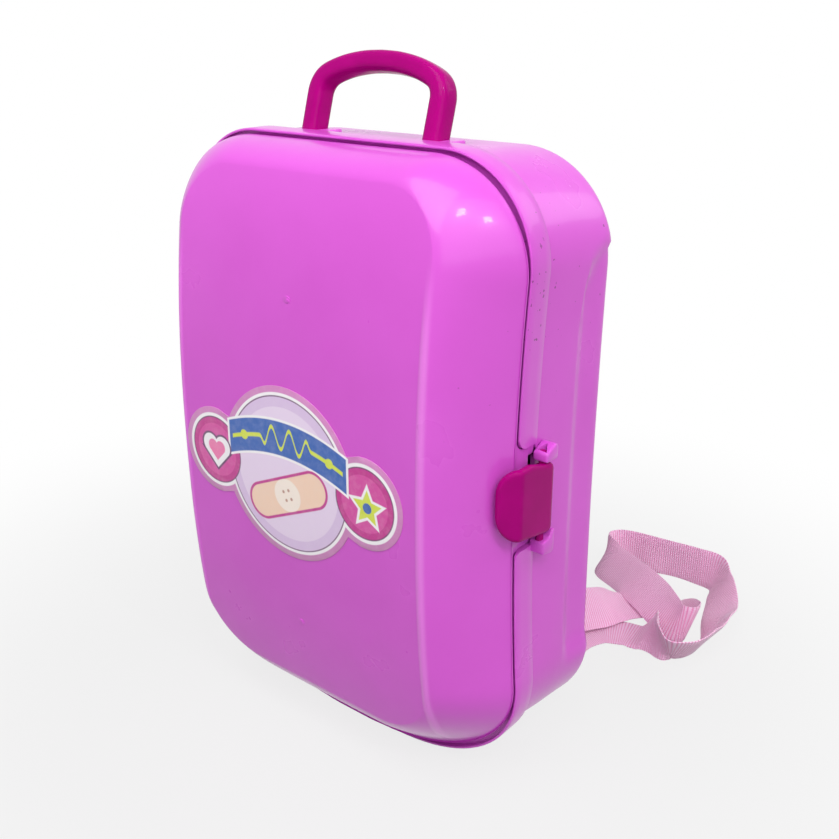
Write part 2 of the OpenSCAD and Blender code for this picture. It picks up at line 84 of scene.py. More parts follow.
def half_outline(hw, z0, z1, rt, rx, rz, bow, full=2):
    """Right half of an outline, from top centre to bottom centre."""
    side = np.linspace(0, 1, SIDE_STEPS + 1)[1:-1]
    quarter = np.radians(np.linspace(0, 90, CORNER_STEPS + 1))
    return ([((hw - rt) * i / EDGE_STEPS, z1) for i in range(EDGE_STEPS)]
            + [(hw - rt + rt * math.sin(a), z1 - rt + rt * math.cos(a)) for a in quarter]
            + [(hw - bow * WAIST * (1 - (2 * t - 1) ** 2),
                (z1 - rt) * (1 - t) + (z0 + rz) * t) for t in side]
            + [(hw - rx + rx * max(0, math.cos(a)) ** (2 / full),
                z0 + rz - rz * math.sin(a) ** (2 / full)) for a in quarter]
            + [((hw - rx) * (1 - i / EDGE_STEPS), z0) for i in range(1, EDGE_STEPS + 1)])


def mirrored(half):
    return np.array(half + [(-x, z) for x, z in half[-2:0:-1]])


def at_depth(outline, y):
    return np.column_stack([outline[:, 0], np.full(len(outline), y), outline[:, 1]])


def case_outline(inset, soft=0):
    """The case's outline drawn in by inset, its top corners rounder by soft."""
    return mirrored(half_outline(
        HALF_W - inset, inset, CASE_H - inset, TOP_R - inset + soft,
        LOW_RX - inset, LOW_RZ - inset, 1, 2 if soft else LOW_FULL))


def skin(rings, first, last):
    """Vertices and faces of one closed skin through rings, each end closed onto a point."""
    n, m = len(rings[0]), len(rings)
    points = np.vstack([*rings, [first], [last]])
    faces = [(k * n + i, k * n + (i + 1) % n, (k + 1) * n + (i + 1) % n, (k + 1) * n + i)
             for k in range(m - 1) for i in range(n)]
    faces += [((i + 1) % n, i, m * n) for i in range(n)]
    faces += [((m - 1) * n + i, (m - 1) * n + (i + 1) % n, m * n + 1) for i in range(n)]
    return points, faces


def mesh_object(name, points, faces, sharp=35):
    """A smooth-shaded object at the origin, its place in its mesh."""
    mesh = bpy.data.meshes.new(name)
    mesh.from_pydata((np.array(points) * MM).tolist(), [], faces)
    shaded(mesh, sharp)
    thing = bpy.data.objects.new(name, mesh)
    bpy.context.scene.collection.objects.link(thing)
    return thing


def shaded(mesh, sharp=35):
    bm = bmesh.new()
    bm.from_mesh(mesh)
    bmesh.ops.recalc_face_normals(bm, faces=bm.faces)
    bm.to_mesh(mesh)
    bm.free()
    mesh.shade_smooth()
    mesh.set_sharp_from_angle(angle=math.radians(sharp))


def block(low, high, bevel=0.5, turn=None):
    """A box with rounded edges, between two corners."""
    bm = bmesh.new()
    bmesh.ops.create_cube(bm, size=1)
    low, high = Vector(low), Vector(high)
    for v in bm.verts:
        v.co = Vector(low[k] + (v.co[k] + 0.5) * (high[k] - low[k]) for k in range(3))
    if bevel:
        bmesh.ops.bevel(bm, geom=bm.edges[:], offset=bevel, segments=3, affect="EDGES", profile=0.5)
    return taken(bm, turn)


def taken(bm, turn=None):
    if turn is not None:
        bmesh.ops.transform(bm, matrix=turn, verts=bm.verts)
    bm.verts.index_update()
    points = [tuple(v.co) for v in bm.verts]
    faces = [tuple(v.index for v in f.verts) for f in bm.faces]
    bm.free()
    return points, faces


def prism(outline, low, high, axis, bevel=0.0):
    """A prism with a polygon outline, drawn along x, y or z."""
    bm = bmesh.new()

    def corner(p, h):
        return {"x": (h, p[0], p[1]), "y": (p[0], h, p[1]), "z": (p[0], p[1], h)}[axis]
    ends = [[bm.verts.new(corner(p, h)) for p in outline] for h in (low, high)]
    n = len(outline)
    bm.faces.new(ends[0])
    bm.faces.new(ends[1][::-1])
    for i in range(n):
        bm.faces.new((ends[0][(i + 1) % n], ends[0][i], ends[1][i], ends[1][(i + 1) % n]))
    bmesh.ops.recalc_face_normals(bm, faces=bm.faces)
    if bevel:
        hard = [e for e in bm.edges if e.calc_face_angle(0) > math.radians(30)]
        bmesh.ops.bevel(bm, geom=hard, offset=bevel, segments=3, affect="EDGES", profile=0.5)
    return taken(bm)


def rod(centre, radius, low, high, sides=48, bevel=0.0):
    ring = [(centre[0] + radius * math.cos(2 * math.pi * i / sides),
             centre[1] + radius * math.sin(2 * math.pi * i / sides)) for i in range(sides)]
    return prism(ring, low, high, "z", bevel)


def gathered(*solids):
    """Several closed solids as one set of vertices and faces."""
    points, faces = [], []
    for p, f in solids:
        base = len(points)
        points += [tuple(q) for q in p]
        faces += [tuple(base + i for i in face) for face in f]
    return points, faces


def cut(thing, cutter, sharp=35):
    """Takes the cutter's solids out of a thing, and leaves a plain mesh."""
    tool = mesh_object("cutter", *cutter)
    boolean = thing.modifiers.new("cut", "BOOLEAN")
    boolean.object, boolean.operation, boolean.solver = tool, "DIFFERENCE", "EXACT"
    settled(thing)
    bpy.data.objects.remove(tool)
    shaded(thing.data, sharp)


def settled(thing):
    """Applies a thing's modifiers."""
    evaluated = thing.evaluated_get(bpy.context.evaluated_depsgraph_get())
    mesh = bpy.data.meshes.new_from_object(evaluated)
    thing.modifiers.clear()
    old, thing.data = thing.data, mesh
    bpy.data.meshes.remove(old)


def added(thing, solids, sharp=35):
    """Adds solids to a thing's mesh, as parts moulded in one piece with it."""
    extra = mesh_object("extra", *solids, sharp)
    bm = bmesh.new()
    bm.from_mesh(thing.data)
    bm.from_mesh(extra.data)
    bm.to_mesh(thing.data)
    bm.free()
    bpy.data.objects.remove(extra)
    thing.data.shade_smooth()
    thing.data.set_sharp_from_angle(angle=math.radians(sharp))


# ---- Pink plastic of both shells -----------------------------------------------
# Orchid pink polypropylene, semi-gloss, with the faint mottling and flow waves of a
# thin moulding, small scuffs, and a few dark specks where the top corner was rubbed.
class Term:
    """A shader socket or a number that Python's own operators join into nodes."""

    def __init__(self, finish, socket):
        self.finish, self.socket = finish, socket

    def join(self, operation, *others):
        sockets = dict(enumerate((self, *others)))
        return self.finish.node("ShaderNodeMath", {"operation": operation}, sockets)

    def __add__(self, other): return self.join("ADD", other)
    def __sub__(self, other): return self.join("SUBTRACT", other)
    def __mul__(self, other): return self.join("MULTIPLY", other)
    def __truediv__(self, other): return self.join("DIVIDE", other)
    def __radd__(self, other): return self.join("ADD", other)
    def __rmul__(self, other): return self.join("MULTIPLY", other)
    def __neg__(self): return self.join("MULTIPLY", -1.0)
    def __rsub__(self, other): return (-self).join("ADD", other)
    def power(self, other): return self.join("POWER", other)
    def absolute(self): return self.join("ABSOLUTE")
    def sine(self): return self.join("SINE")
    def cosine(self): return self.join("COSINE")
    def root(self): return self.join("SQRT")
    def least(self, other): return self.join("MINIMUM", other)
    def most(self, other): return self.join("MAXIMUM", other)

    def ramp(self, low, high):
        """0 up to low, 1 from high on, smooth between."""
        return self.finish.node("ShaderNodeMapRange", {"interpolation_type": "SMOOTHSTEP"},
                                {"Value": self, "From Min": low, "From Max": high})


class Finish:
    """A material with one Principled shader, and the methods that fill its sockets."""

    def __init__(self, name, **fixed):
        self.material = bpy.data.materials.new(name)
        self.material.use_nodes = True
        self.tree = self.material.node_tree
        self.tree.nodes.clear()
        self.shader = self.tree.nodes.new("ShaderNodeBsdfPrincipled")
        out = self.tree.nodes.new("ShaderNodeOutputMaterial")
        self.tree.links.new(self.shader.outputs[0], out.inputs["Surface"])
        for key, value in fixed.items():
            self.shader.inputs[key.replace("_", " ")].default_value = value

    def node(self, kind, settings=None, sockets=None, out=0):
        node = self.tree.nodes.new(kind)
        for key, value in (settings or {}).items():
            setattr(node, key, value)
        for key, value in (sockets or {}).items():
            self.feed(node.inputs[key], value)
        return Term(self, node.outputs[out])

    def feed(self, socket, value):
        if isinstance(value, Term):
            self.tree.links.new(value.socket, socket)
        elif isinstance(value, (tuple, list)) and len(value) == 3 and socket.type == "RGBA":
            socket.default_value = (*value, 1)
        else:
            socket.default_value = value

    def place(self):
        """Object coordinates, in metres."""
        return self.node("ShaderNodeTexCoord", out="Object")

    def parts(self, vector):
        node = self.node("ShaderNodeSeparateXYZ", None, {0: vector}).socket.node
        return [Term(self, socket) for socket in node.outputs]

    def noise(self, scale, detail=3, rough=0.5, where=None):
        return self.node("ShaderNodeTexNoise", None, {
            "Vector": where or self.place(), "Scale": scale, "Detail": detail, "Roughness": rough})

    def blend(self, share, first, second):
        """A colour between two, by share."""
        return self.node("ShaderNodeMix", {"data_type": "RGBA"}, {0: share, 6: first, 7: second}, out=2)

    def bump(self, height, distance, strength=1.0, under=None):
        sockets = {"Height": height, "Distance": distance, "Strength": strength}
        if under is not None:
            sockets["Normal"] = under
        return self.node("ShaderNodeBump", None, sockets)

    def paint(self, **sockets):
        for key, value in sockets.items():
            self.feed(self.shader.inputs[key.replace("_", " ")], value)
        return self.material


def linear(red, green, blue):
    """Linear colour of one written as it looks on screen, 0 to 255."""
    return tuple(c / 12.92 if c <= 0.04045 else ((c + 0.055) / 1.055) ** 2.4
                 for c in (red / 255, green / 255, blue / 255))


def shell_plastic(name):
    finish = Finish(name, IOR=1.49, Specular_IOR_Level=0.35, Coat_Roughness=0.035)
    mottle = finish.noise(24, 4, 0.55).ramp(0.3, 0.7)
    cloud = finish.noise(7, 2, 0.5).ramp(0.3, 0.72)
    colour = finish.blend(mottle * 0.4, linear(214, 84, 209), linear(206, 76, 200))
    colour = finish.blend(cloud * 0.35, colour, linear(222, 94, 219))
    x, y, z = finish.parts(finish.place())
    # Dark specks: a few over the top corner, more on the rubbed patch of the rim band
    corner = (x - 0.05).ramp(0, 0.035) * (z - 0.15).ramp(0, 0.06)
    rubbed = (x - 0.082).ramp(0, 0.003) * (z - 0.188).ramp(0, 0.008) * (z - 0.236).ramp(0, -0.01)
    rubbed = rubbed * (y - 0.01).ramp(0, -0.004) * (y + 0.0112).ramp(0, 0.0005)
    grit = finish.noise(520, 1, 0.5)
    speck = (grit.ramp(0.775, 0.80) * corner).most(grit.ramp(0.7, 0.725) * rubbed)
    # Painted highlight: a pale line along the front panel's edge, where its rounded crease catches the
    # light
    crease_highlight = (x.absolute() - 0.0653 + z.ramp(0.045, 0.013) * 0.005).absolute().ramp(0.0022, 0.0006)
    crease_highlight = crease_highlight * (y + 0.0135).ramp(0, -0.001) * (z - 0.012).ramp(0, 0.012) * (z - 0.232).ramp(0, -0.04)
    colour = finish.blend(crease_highlight * 0.38, colour, linear(244, 156, 240))
    colour = finish.blend(speck * 0.75, colour, linear(96, 30, 92))
    scuff = finish.noise(60, 6, 0.75).ramp(0.6, 0.76)
    wave = finish.noise(45, 2, 0.4)
    grain = finish.noise(900, 2, 0.5)
    normal = finish.bump(wave, 0.0006, 0.55)
    normal = finish.bump(grain, 0.00004, 0.5, normal)
    return finish.paint(Base_Color=colour, Roughness=0.27 + scuff * 0.12 + mottle * 0.05,
                        Coat_Weight=0.25 - scuff * 0.12, Normal=normal)


shell_pink = shell_plastic("shell_pink")

# ---- Back shell ----------------------------------------------------------------
# One deep moulded tub: raised rim band in front, a lip inside it that the front
# shell closes over, long sides drawn in behind a soft step, and a flat back panel.
BAND_W, BAND_STEP, FLARE, REAR_ROUND = 12, 2, 1.5, 5
SIDE_DIP, DIP_Y = 1.8, 25.3
RECESS_TOP, RECESS_LOW = (198, 224), 46
LIP_DEEP, LIP_T, LIP_IN = 1.8, 1.4, 5.1
RIM_ROUND, GROOVE = 0.6, 2.5


def body_ring(side, bottom, top, dip, bow, t, y):
    """One ring of the tub; the side recess ends higher the further back it runs."""
    ring = at_depth(mirrored(half_outline(
        HALF_W - side - t, bottom + t, CASE_H - top - t, TOP_R - side - t,
        LOW_RX - side - t, LOW_RZ - bottom - t, bow, LOW_FULL)), y)
    gone = min(1, max(0, (y - DIP_Y + 1) / 16))
    end = RECESS_TOP[0] + (RECESS_TOP[1] - RECESS_TOP[0]) * math.sqrt(1 - (1 - gone) ** 2)
    for point in ring:
        share = ease((end - point[2]) / 4) * ease((point[2] - RECESS_LOW) / 7)
        point[0] -= math.copysign(dip * share, point[0])
    return ring


def between(a, b, s):
    return [p + (q - p) * s for p, q in zip(a, b)]


# Stations behind the rim band: y, side inset, bottom inset, top inset, dip, waist share
band_end = PART_Y + BAND_W
stations = [[band_end + 0.6, BAND_STEP, BAND_STEP, BAND_STEP + 0.5, 0, 0.8]]
step_front = [DIP_Y - 3, 0.3, 0, 3, 0, 0.5]
step_back = [DIP_Y + 3, -0.2, 0, 3.2, SIDE_DIP, 0.35]
stations += [between(stations[0], step_front, s) for s in (0.02, 0.06, 0.25, 0.5, 0.75)]
for s in np.linspace(0, 1, 9):
    row = between(step_front, step_back, s)
    row[4] = SIDE_DIP * ease(s)
    stations.append(row)
rear_first = [BACK_Y - REAR_ROUND, -FLARE, 0, 3.8, SIDE_DIP, 0.3]
stations += [between(step_back, rear_first, s) for s in (0.25, 0.5, 0.75)]
for a in np.radians(np.linspace(0, 90, 9)):
    r = REAR_ROUND * (1 - math.cos(a))
    stations.append([BACK_Y - REAR_ROUND * (1 - math.sin(a)), r - FLARE, r, r + 3.8, SIDE_DIP, 0.3])

outer = [body_ring(*s[1:], 0, s[0]) for s in stations[::-1]]
panel = outer[0]
middle = np.array([0, BACK_Y, CASE_H / 2])
outer = [middle + (panel - middle) * s for s in (0.35, 0.7, 0.93)] + outer
rim = [at_depth(case_outline(1.4), band_end + 0.15)]
rim += [at_depth(case_outline(d), band_end - e) for d, e in [(RIM_ROUND, 0), (0.18, 0.18), (0, RIM_ROUND)]]
rim += [at_depth(case_outline(0), band_end - BAND_W * s) for s in (0.35, 0.65)]
rim += [at_depth(case_outline(d), PART_Y + e)
        for d, e in [(0, RIM_ROUND), (0.18, 0.18), (RIM_ROUND, 0), (1, 0.1), (1.2, GROOVE)]]
lip = [at_depth(case_outline(LIP_IN, SOFT_R), PART_Y + GROOVE),
       at_depth(case_outline(LIP_IN, SOFT_R), PART_Y - LIP_DEEP + 0.3),
       at_depth(case_outline(LIP_IN + 0.3, SOFT_R), PART_Y - LIP_DEEP),
       at_depth(case_outline(LIP_IN + LIP_T - 0.3, SOFT_R), PART_Y - LIP_DEEP),
       at_depth(case_outline(LIP_IN + LIP_T, SOFT_R), PART_Y - LIP_DEEP + 0.3),
       at_depth(case_outline(LIP_IN + LIP_T, SOFT_R), PART_Y + BAND_W * 0.3)]
inner = [body_ring(*s[1:], WALL, min(s[0], BACK_Y - WALL)) for s in stations if s[0] < BACK_Y - WALL + 0.2]
floor_ring = inner[-1]
inner_middle = np.array([0, BACK_Y - WALL, CASE_H / 2])
inner += [inner_middle + (floor_ring - inner_middle) * s for s in (0.93, 0.6, 0.3)]
back_shell = mesh_object("back_shell_moulding", *skin(outer + rim + lip + inner, middle, inner_middle))

# Notch in the rim band that the front shell's tab fills, its mouth rounded above and
# below by corners of these two depths and heights
NOTCH_LOW, NOTCH_HIGH, NOTCH_BACK, WALL_X = 111.3, 153.8, 1.6, 82.4
MOUTH_Y, MOUTH_Z = (4.4, 2.6), (5.5, 2.5)
notch_front = PART_Y - LIP_DEEP - 1


def flare(grow):
    """The notch's two rounded mouth corners, upper then lower, made larger by grow."""
    quarter = np.radians(np.linspace(0, 90, 10))
    upper = [(PART_Y + MOUTH_Y[0] - (MOUTH_Y[0] + grow) * math.cos(a),
              NOTCH_HIGH + MOUTH_Z[0] - (MOUTH_Z[0] + grow) * math.sin(a)) for a in quarter]
    lower = [(PART_Y + MOUTH_Y[1] - (MOUTH_Y[1] + grow) * math.cos(a),
              NOTCH_LOW - MOUTH_Z[1] + (MOUTH_Z[1] + grow) * math.sin(a)) for a in quarter]
    return upper, lower


upper_flare, lower_flare = flare(0)
notch = prism([(NOTCH_BACK, NOTCH_LOW), (NOTCH_BACK, NOTCH_HIGH), *upper_flare[::-1],
               (notch_front, NOTCH_HIGH + MOUTH_Z[0]), (notch_front, NOTCH_LOW - MOUTH_Z[1]), *lower_flare],
              WALL_X - 6, WALL_X + 8, "x")

# Slots in the back panel for the webbing
SLOTS, SLOT_W, SLOT_H = [(38, 214), (-38, 214), (48, 30), (-48, 30)], 24, 3.2
slots = [block((x - SLOT_W / 2, BACK_Y - 6, z - SLOT_H / 2),
               (x + SLOT_W / 2, BACK_Y + 6, z + SLOT_H / 2), 0.4) for x, z in SLOTS]

# Sockets that lean back with the handle
HANDLE_LEAN, HANDLE_Y, ROOF_Z, SEAT_Z, LEG_X = 17, 6.5, CASE_H - 2.7, CASE_H - 0.6, 31.5
lean = Matrix.Translation((0, HANDLE_Y, ROOF_Z)) @ Matrix.Rotation(math.radians(-HANDLE_LEAN), 4, "X")
SOCKET_X, SOCKET_Y = 8.3, 10.3
sockets = [block((s * LEG_X - SOCKET_X / 2, -SOCKET_Y / 2, -20),
                 (s * LEG_X + SOCKET_X / 2, SOCKET_Y / 2, 20), 0.3, lean) for s in (-1, 1)]
cut(back_shell, gathered(notch, *slots, *sockets))

# Latch bracket: a C of two ears and a spine, open in front, with the stub pin's bores.
# The upper ear has a three-sided window in its sloped top, over the pin's end.
LATCH_X, LATCH_Y, LATCH_Z, LATCH_H, LATCH_FACE = 88, 1.2, 119, 29.5, 91.4
EAR_X, EAR_BACK, SPINE, STUB_R, BORE_R = 84.8, 7.6, (5.5, 8), 1.5, 1.6
UPPER_EAR = [(-1, 147.1), (-1, 150.8), (5.2, 153.6), (6.8, 152.6), (6.8, 147.6), (6, 147.1)]
LOWER_EAR = [(-1, 108.6), (-1, 113.6), (4, 114.8), (5.3, 117.4), (6.8, 117.4), (6.8, 108.4), (5.6, 107.4)]
upper_ear = mesh_object("upper_ear", *prism(UPPER_EAR, EAR_X, LATCH_FACE, "x", 0.8))
cut(upper_ear, rod((LATCH_X, LATCH_Y), BORE_R, 140, 149.6))
cut(upper_ear, prism([(85.8, 0.2), (88, 4.1), (90.4, -0.1)], 149.2, 156, "z"))
lower_ear = mesh_object("lower_ear", *gathered(
    prism(LOWER_EAR, EAR_X, LATCH_FACE, "x", 0.7),
    block((WALL_X, NOTCH_BACK, 108.6), (LATCH_FACE - 1.6, EAR_BACK, 113), 0.3),
    block((WALL_X, SPINE[0], 108.8), (LATCH_FACE - 1, SPINE[1], 151.4), 0.6)))
cut(lower_ear, rod((LATCH_X, LATCH_Y), BORE_R, 109.6, 120))


def solids_of(thing):
    """A thing's vertices and faces, the thing itself taken away."""
    points = [tuple(v.co / MM) for v in thing.data.vertices]
    faces = [tuple(f.vertices) for f in thing.data.polygons]
    bpy.data.objects.remove(thing)
    return points, faces


# Hinge knuckles, handle seats and two ribs inside the back panel
HINGE_X, HINGE_Y, HINGES = -90.6, PART_Y - SEAM / 2, (195, 80)
KNUCKLE_R, KNUCKLE_H, MID_H = 3, 7, 9
RIBS_X, RIB_T, RIB_DEEP = 16, 1.6, 3
extras = [solids_of(upper_ear), solids_of(lower_ear),
          block((WALL_X, NOTCH_BACK, 147.6), (EAR_X + 0.7, EAR_BACK, 151.4), 0.3)]
for z in HINGES:
    for s in (-1, 1):
        mid = z + s * (MID_H / 2 + 0.4 + KNUCKLE_H / 2)
        extras.append(rod((HINGE_X, HINGE_Y), KNUCKLE_R, mid - KNUCKLE_H / 2, mid + KNUCKLE_H / 2, 48, 0.4))
        extras.append(block((HINGE_X - KNUCKLE_R + 0.6, HINGE_Y + 0.6, mid - KNUCKLE_H / 2 + 0.05),
                            (HINGE_X + KNUCKLE_R + 2.6, HINGE_Y + 5.6, mid + KNUCKLE_H / 2 - 0.05), 0.5))
for s in (-1, 1):
    seat = [(s * LEG_X - 9, HANDLE_Y - 7, ROOF_Z - 2), (s * LEG_X + 9, HANDLE_Y + 7.5, SEAT_Z)]
    extras.append(block(*seat, 0.8))
    extras.append(block((s * LEG_X - 6.5, -6.5, -9), (s * LEG_X + 6.5, 6.5, -1), 0.5, lean))
    extras.append(block((s * RIBS_X - RIB_T / 2, BACK_Y - WALL - RIB_DEEP, 60),
                        (s * RIBS_X + RIB_T / 2, BACK_Y - WALL + 0.5, 200), 0.3))
added(back_shell, gathered(*extras))
back_shell.data.materials.append(shell_pink)
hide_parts("back_shell")
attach(back_shell, "case")

# ---- Front shell ---------------------------------------------------------------
# The door: a shallow moulded dome, bowed top to bottom, whose panel turns by a soft
# crease into bevelled sides. Two moulding gate marks show on the panel.
EDGE_IN, DOME_MID, DOME_HALF, DOME_POW, CREASE_POW = 0.8, 129.5, 142, 2.24, 1.42
DOOR_SOFT, TOP_DROP, LOW_DRAW = 2.2, 1.2, 1.7
PANEL_HW, PANEL_LOW, PANEL_TOP, PANEL_TR, PANEL_LR = 65.2, 28, 248.5, 24, 29
DOOR_DEEP = DOOR_Y - FRONT_Y
HALF_N = EDGE_STEPS + 2 * (CORNER_STEPS + 1) + SIDE_STEPS - 1 + EDGE_STEPS
GATES = [(-1.8, 202.2), (-1.8, 62.4)]


def dome(z):
    return (1 - np.minimum(1, np.abs(z - DOME_MID) / DOME_HALF) ** DOME_POW) ** (1 / DOME_POW)


def panel_outline(inset):
    return mirrored(half_outline(PANEL_HW - inset, PANEL_LOW + inset, PANEL_TOP - inset,
                                 PANEL_TR, PANEL_LR, PANEL_LR, 0))


def top_share(i):
    """1 along an outline's top edge, falling to 0 round each top corner."""
    k = i if i < HALF_N else 2 * HALF_N - 2 - i
    if k < EDGE_STEPS:
        return 1
    if k > EDGE_STEPS + CORNER_STEPS:
        return 0
    return math.cos(math.pi / 2 * (k - EDGE_STEPS) / CORNER_STEPS) ** 2


def door_rim(inset):
    """The door's edge, a little smaller than the rim at its top and its low corners."""
    line = case_outline(EDGE_IN + inset, DOOR_SOFT)
    first_low = EDGE_STEPS + CORNER_STEPS + SIDE_STEPS
    for i, point in enumerate(line):
        point[1] -= TOP_DROP * top_share(i)
        k = (i if i < HALF_N else 2 * HALF_N - 2 - i) - first_low
        if 0 < k < CORNER_STEPS + 6:
            centre = np.array([math.copysign(HALF_W - LOW_RX, point[0]), LOW_RZ])
            arm = point - centre
            point -= arm / np.linalg.norm(arm) * LOW_DRAW * math.sin(math.pi * k / (CORNER_STEPS + 6)) ** 2
    return line


def dome_ring(r, inset):
    """One ring of the bevel, r from the panel's edge at 0 to the rim at 1."""
    rim_line, panel_line = door_rim(inset), panel_outline(inset * 0.6)
    line = panel_line + (rim_line - panel_line) * r
    share = np.array([top_share(i) for i in range(len(line))])
    fall = (1 - share) * (1 - r ** CREASE_POW) + share * math.sqrt(1 - r * r)
    return np.column_stack([line[:, 0], DOOR_Y - (DOOR_DEEP - inset) * dome(line[:, 1]) * fall, line[:, 1]])


def panel_ring(s, inset):
    line = panel_outline(inset * 0.6)
    x, z = line[:, 0] * s, DOME_MID + (line[:, 1] - DOME_MID) * s
    return np.column_stack([x, DOOR_Y - (DOOR_DEEP - inset) * dome(z), z])


bevel_steps = (1 + np.cos(np.radians(np.linspace(0, 180, 46)))) / 2
panel_steps = np.linspace(1, 0, 26)[1:-1]
outer = [dome_ring(r, 0) for r in bevel_steps] + [panel_ring(s, 0) for s in panel_steps]
inner = ([panel_ring(s, WALL) for s in panel_steps[::-1]] + [dome_ring(r, WALL) for r in bevel_steps[::-1]])
edge = [at_depth(door_rim(WALL - 0.3), DOOR_Y)]
edge += [at_depth(door_rim(inset), DOOR_Y - forward)
         for inset, forward in ((1.1, 0), (0.8, 0.08), (0.45, 0.3), (0.2, 0.6))]
# The edge's own rounding takes the place of the bevel's last rings
outer[0][:, 1] -= 1.1
outer[1][:, 1] -= 0.5
inner[-1][:, 1] -= 0.3
front_shell = mesh_object("front_shell_moulding", *skin(
    inner + edge + outer, (0, FRONT_Y + WALL, DOME_MID), (0, FRONT_Y, DOME_MID)))
CREASE_LOW, CREASE_TOP = 15, 226
CREASE_FORM = [(-2, -0.05), (-1.2, 0.16), (-0.5, 0.28), (0.2, 0.3), (0.9, 0.16), (1.4, -0.05), (1.9, -0.3)]


def crease(side):
    """Rounded edge of the panel, standing just proud of the bevel beside it."""
    rings = []
    for z in np.linspace(CREASE_LOW, CREASE_TOP, 96):
        share = ease((CREASE_TOP - z) / 30) * ease((z - CREASE_LOW) / 8)
        row = []
        for along, proud in CREASE_FORM:
            x = PANEL_HW + along - 5 * ease((45 - z) / 32)
            surface = front_shell.ray_cast(Vector((side * x, -100, z)) * MM, Vector((0, 1, 0)))[1]
            row.append((side * x, surface[1] / MM - proud * share + 0.03 * (1 - share), z))
        row += [(x, y + 0.7, z) for x, y, z in row[::-1]]
        rings.append(np.array(row))
    return skin(rings, rings[0].mean(axis=0), rings[-1].mean(axis=0))


face_marks = [crease(-1), crease(1)]
for gx, gz in GATES:
    surface = DOOR_Y - DOOR_DEEP * float(dome(gz))
    for radius, low, high in ((1.9, -0.1, 0.6), (0.9, -0.28, 0.6)):
        ring = [(gx + radius * math.cos(a), gz + radius * math.sin(a))
                for a in np.linspace(0, 2 * math.pi, 33)[:-1]]
        face_marks.append(prism(ring, surface + low, surface + high, "y", 0.08))

# Catch tab with the ridge that the latch hooks over, and the door's own knuckles
TAB_X, TAB_END, TAB_STEP = (82.3, 84.1), 5.6, 0.06
tab_low, tab_high, tab_reach = NOTCH_LOW + 0.5, NOTCH_HIGH - 0.5, NOTCH_BACK - 0.8
tab_in, tab_out = TAB_X[0] + TAB_STEP, TAB_X[1] - TAB_STEP
upper_flare, lower_flare = flare(0.45)
extras = [block((TAB_X[0], DOOR_Y - 0.5, tab_low), (TAB_X[1], DOOR_Y + 9, tab_high), 0.4),
          block((tab_in, DOOR_Y, tab_low + TAB_STEP), (tab_out, tab_reach, tab_low + TAB_END), 0.4),
          block((tab_in, DOOR_Y, 149.2), (tab_out, tab_reach, tab_high - TAB_STEP), 0.4),
          block((TAB_X[1] - 0.5, DOOR_Y + 2.6, LATCH_Z + 3),
                (TAB_X[1] + 1.4, DOOR_Y + 4.4, LATCH_Z + LATCH_H - 3), 0.4),
          # Web that closes the notch's flared mouth, flush with the rim
          prism([(DOOR_Y - 0.3, NOTCH_LOW - MOUTH_Z[1]), (DOOR_Y - 0.3, NOTCH_HIGH + MOUTH_Z[0]),
                 *upper_flare, *lower_flare[::-1]], TAB_X[0] + 0.1, TAB_X[1] + 0.3, "x", 0.2)]
for z in HINGES:
    extras.append(rod((HINGE_X, HINGE_Y), KNUCKLE_R, z - MID_H / 2, z + MID_H / 2, 48, 0.4))
    extras.append(block((HINGE_X - KNUCKLE_R + 0.6, HINGE_Y - 4.6, z - MID_H / 2 + 0.05),
                        (HINGE_X + KNUCKLE_R + 4, HINGE_Y - 0.6, z + MID_H / 2 - 0.05), 0.5))
added(front_shell, gathered(*extras, *face_marks), 50)
front_shell.data.materials.append(shell_pink)
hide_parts("front_shell")
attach(front_shell, "door")

# ---- Magenta plastic of the handle and latch -----------------------------------
# The same kind of plastic in deep magenta, moulded against a polished tool, so it
# is glossier than the shells and shows its highlights sharply.


def trim_plastic(name):
    finish = Finish(name, IOR=1.5, Specular_IOR_Level=0.02, Coat_Roughness=0.03)
    mottle = finish.noise(60, 3, 0.5).ramp(0.3, 0.7)
    colour = finish.blend(mottle * 0.5, linear(170, 0, 120), linear(152, 0, 106))
    scuff = finish.noise(110, 5, 0.7).ramp(0.58, 0.75)
    wave = finish.noise(70, 2, 0.4)
    return finish.paint(Base_Color=colour, Roughness=0.16 + scuff * 0.14, Coat_Weight=0.07 - scuff * 0.03,
                        Normal=finish.bump(wave, 0.0004, 0.4))


trim_magenta = trim_plastic("trim_magenta")

# ---- Carry handle --------------------------------------------------------------
# One solid bar of rounded section, bent into a square-shouldered loop with a gently
# arched grip. It leans back, and its two legs snap into the roof's sockets.
BAR_X, BAR_Y, BAR_FULL = 8, 10, 3.4
HANDLE_HALF = [(31.5, -13), (31.5, 3), (31.5, 14), (31.3, 18.2), (29.9, 21.6), (27.2, 24.1),
               (22.2, 26.3), (16, 28.1), (8, 29.4), (0, 29.8)]


def rounded_path(points, steps):
    """A smooth curve through points, a cubic between each pair."""
    rows = np.array(points, float)
    last = len(rows) - 1
    out = []
    for i in range(last):
        a, b, c, d = rows[max(i - 1, 0)], rows[i], rows[i + 1], rows[min(i + 2, last)]
        for t in np.arange(steps) / steps:
            out.append((2 * b + (c - a) * t + (2 * a - 5 * b + 4 * c - d) * t ** 2
                        + (3 * b - a - 3 * c + d) * t ** 3) / 2)
    return np.array(out + [rows[last]])


def maths_in(tree):
    """A function that adds a Math node to a tree, fed by numbers or sockets."""
    def math_node(operation, *terms):
        one = tree.nodes.new("ShaderNodeMath")
        one.operation = operation
        for k, term in enumerate(terms):
            if isinstance(term, (int, float)):
                one.inputs[k].default_value = term
            else:
                tree.links.new(term, one.inputs[k])
        return one.outputs[0]
    return math_node


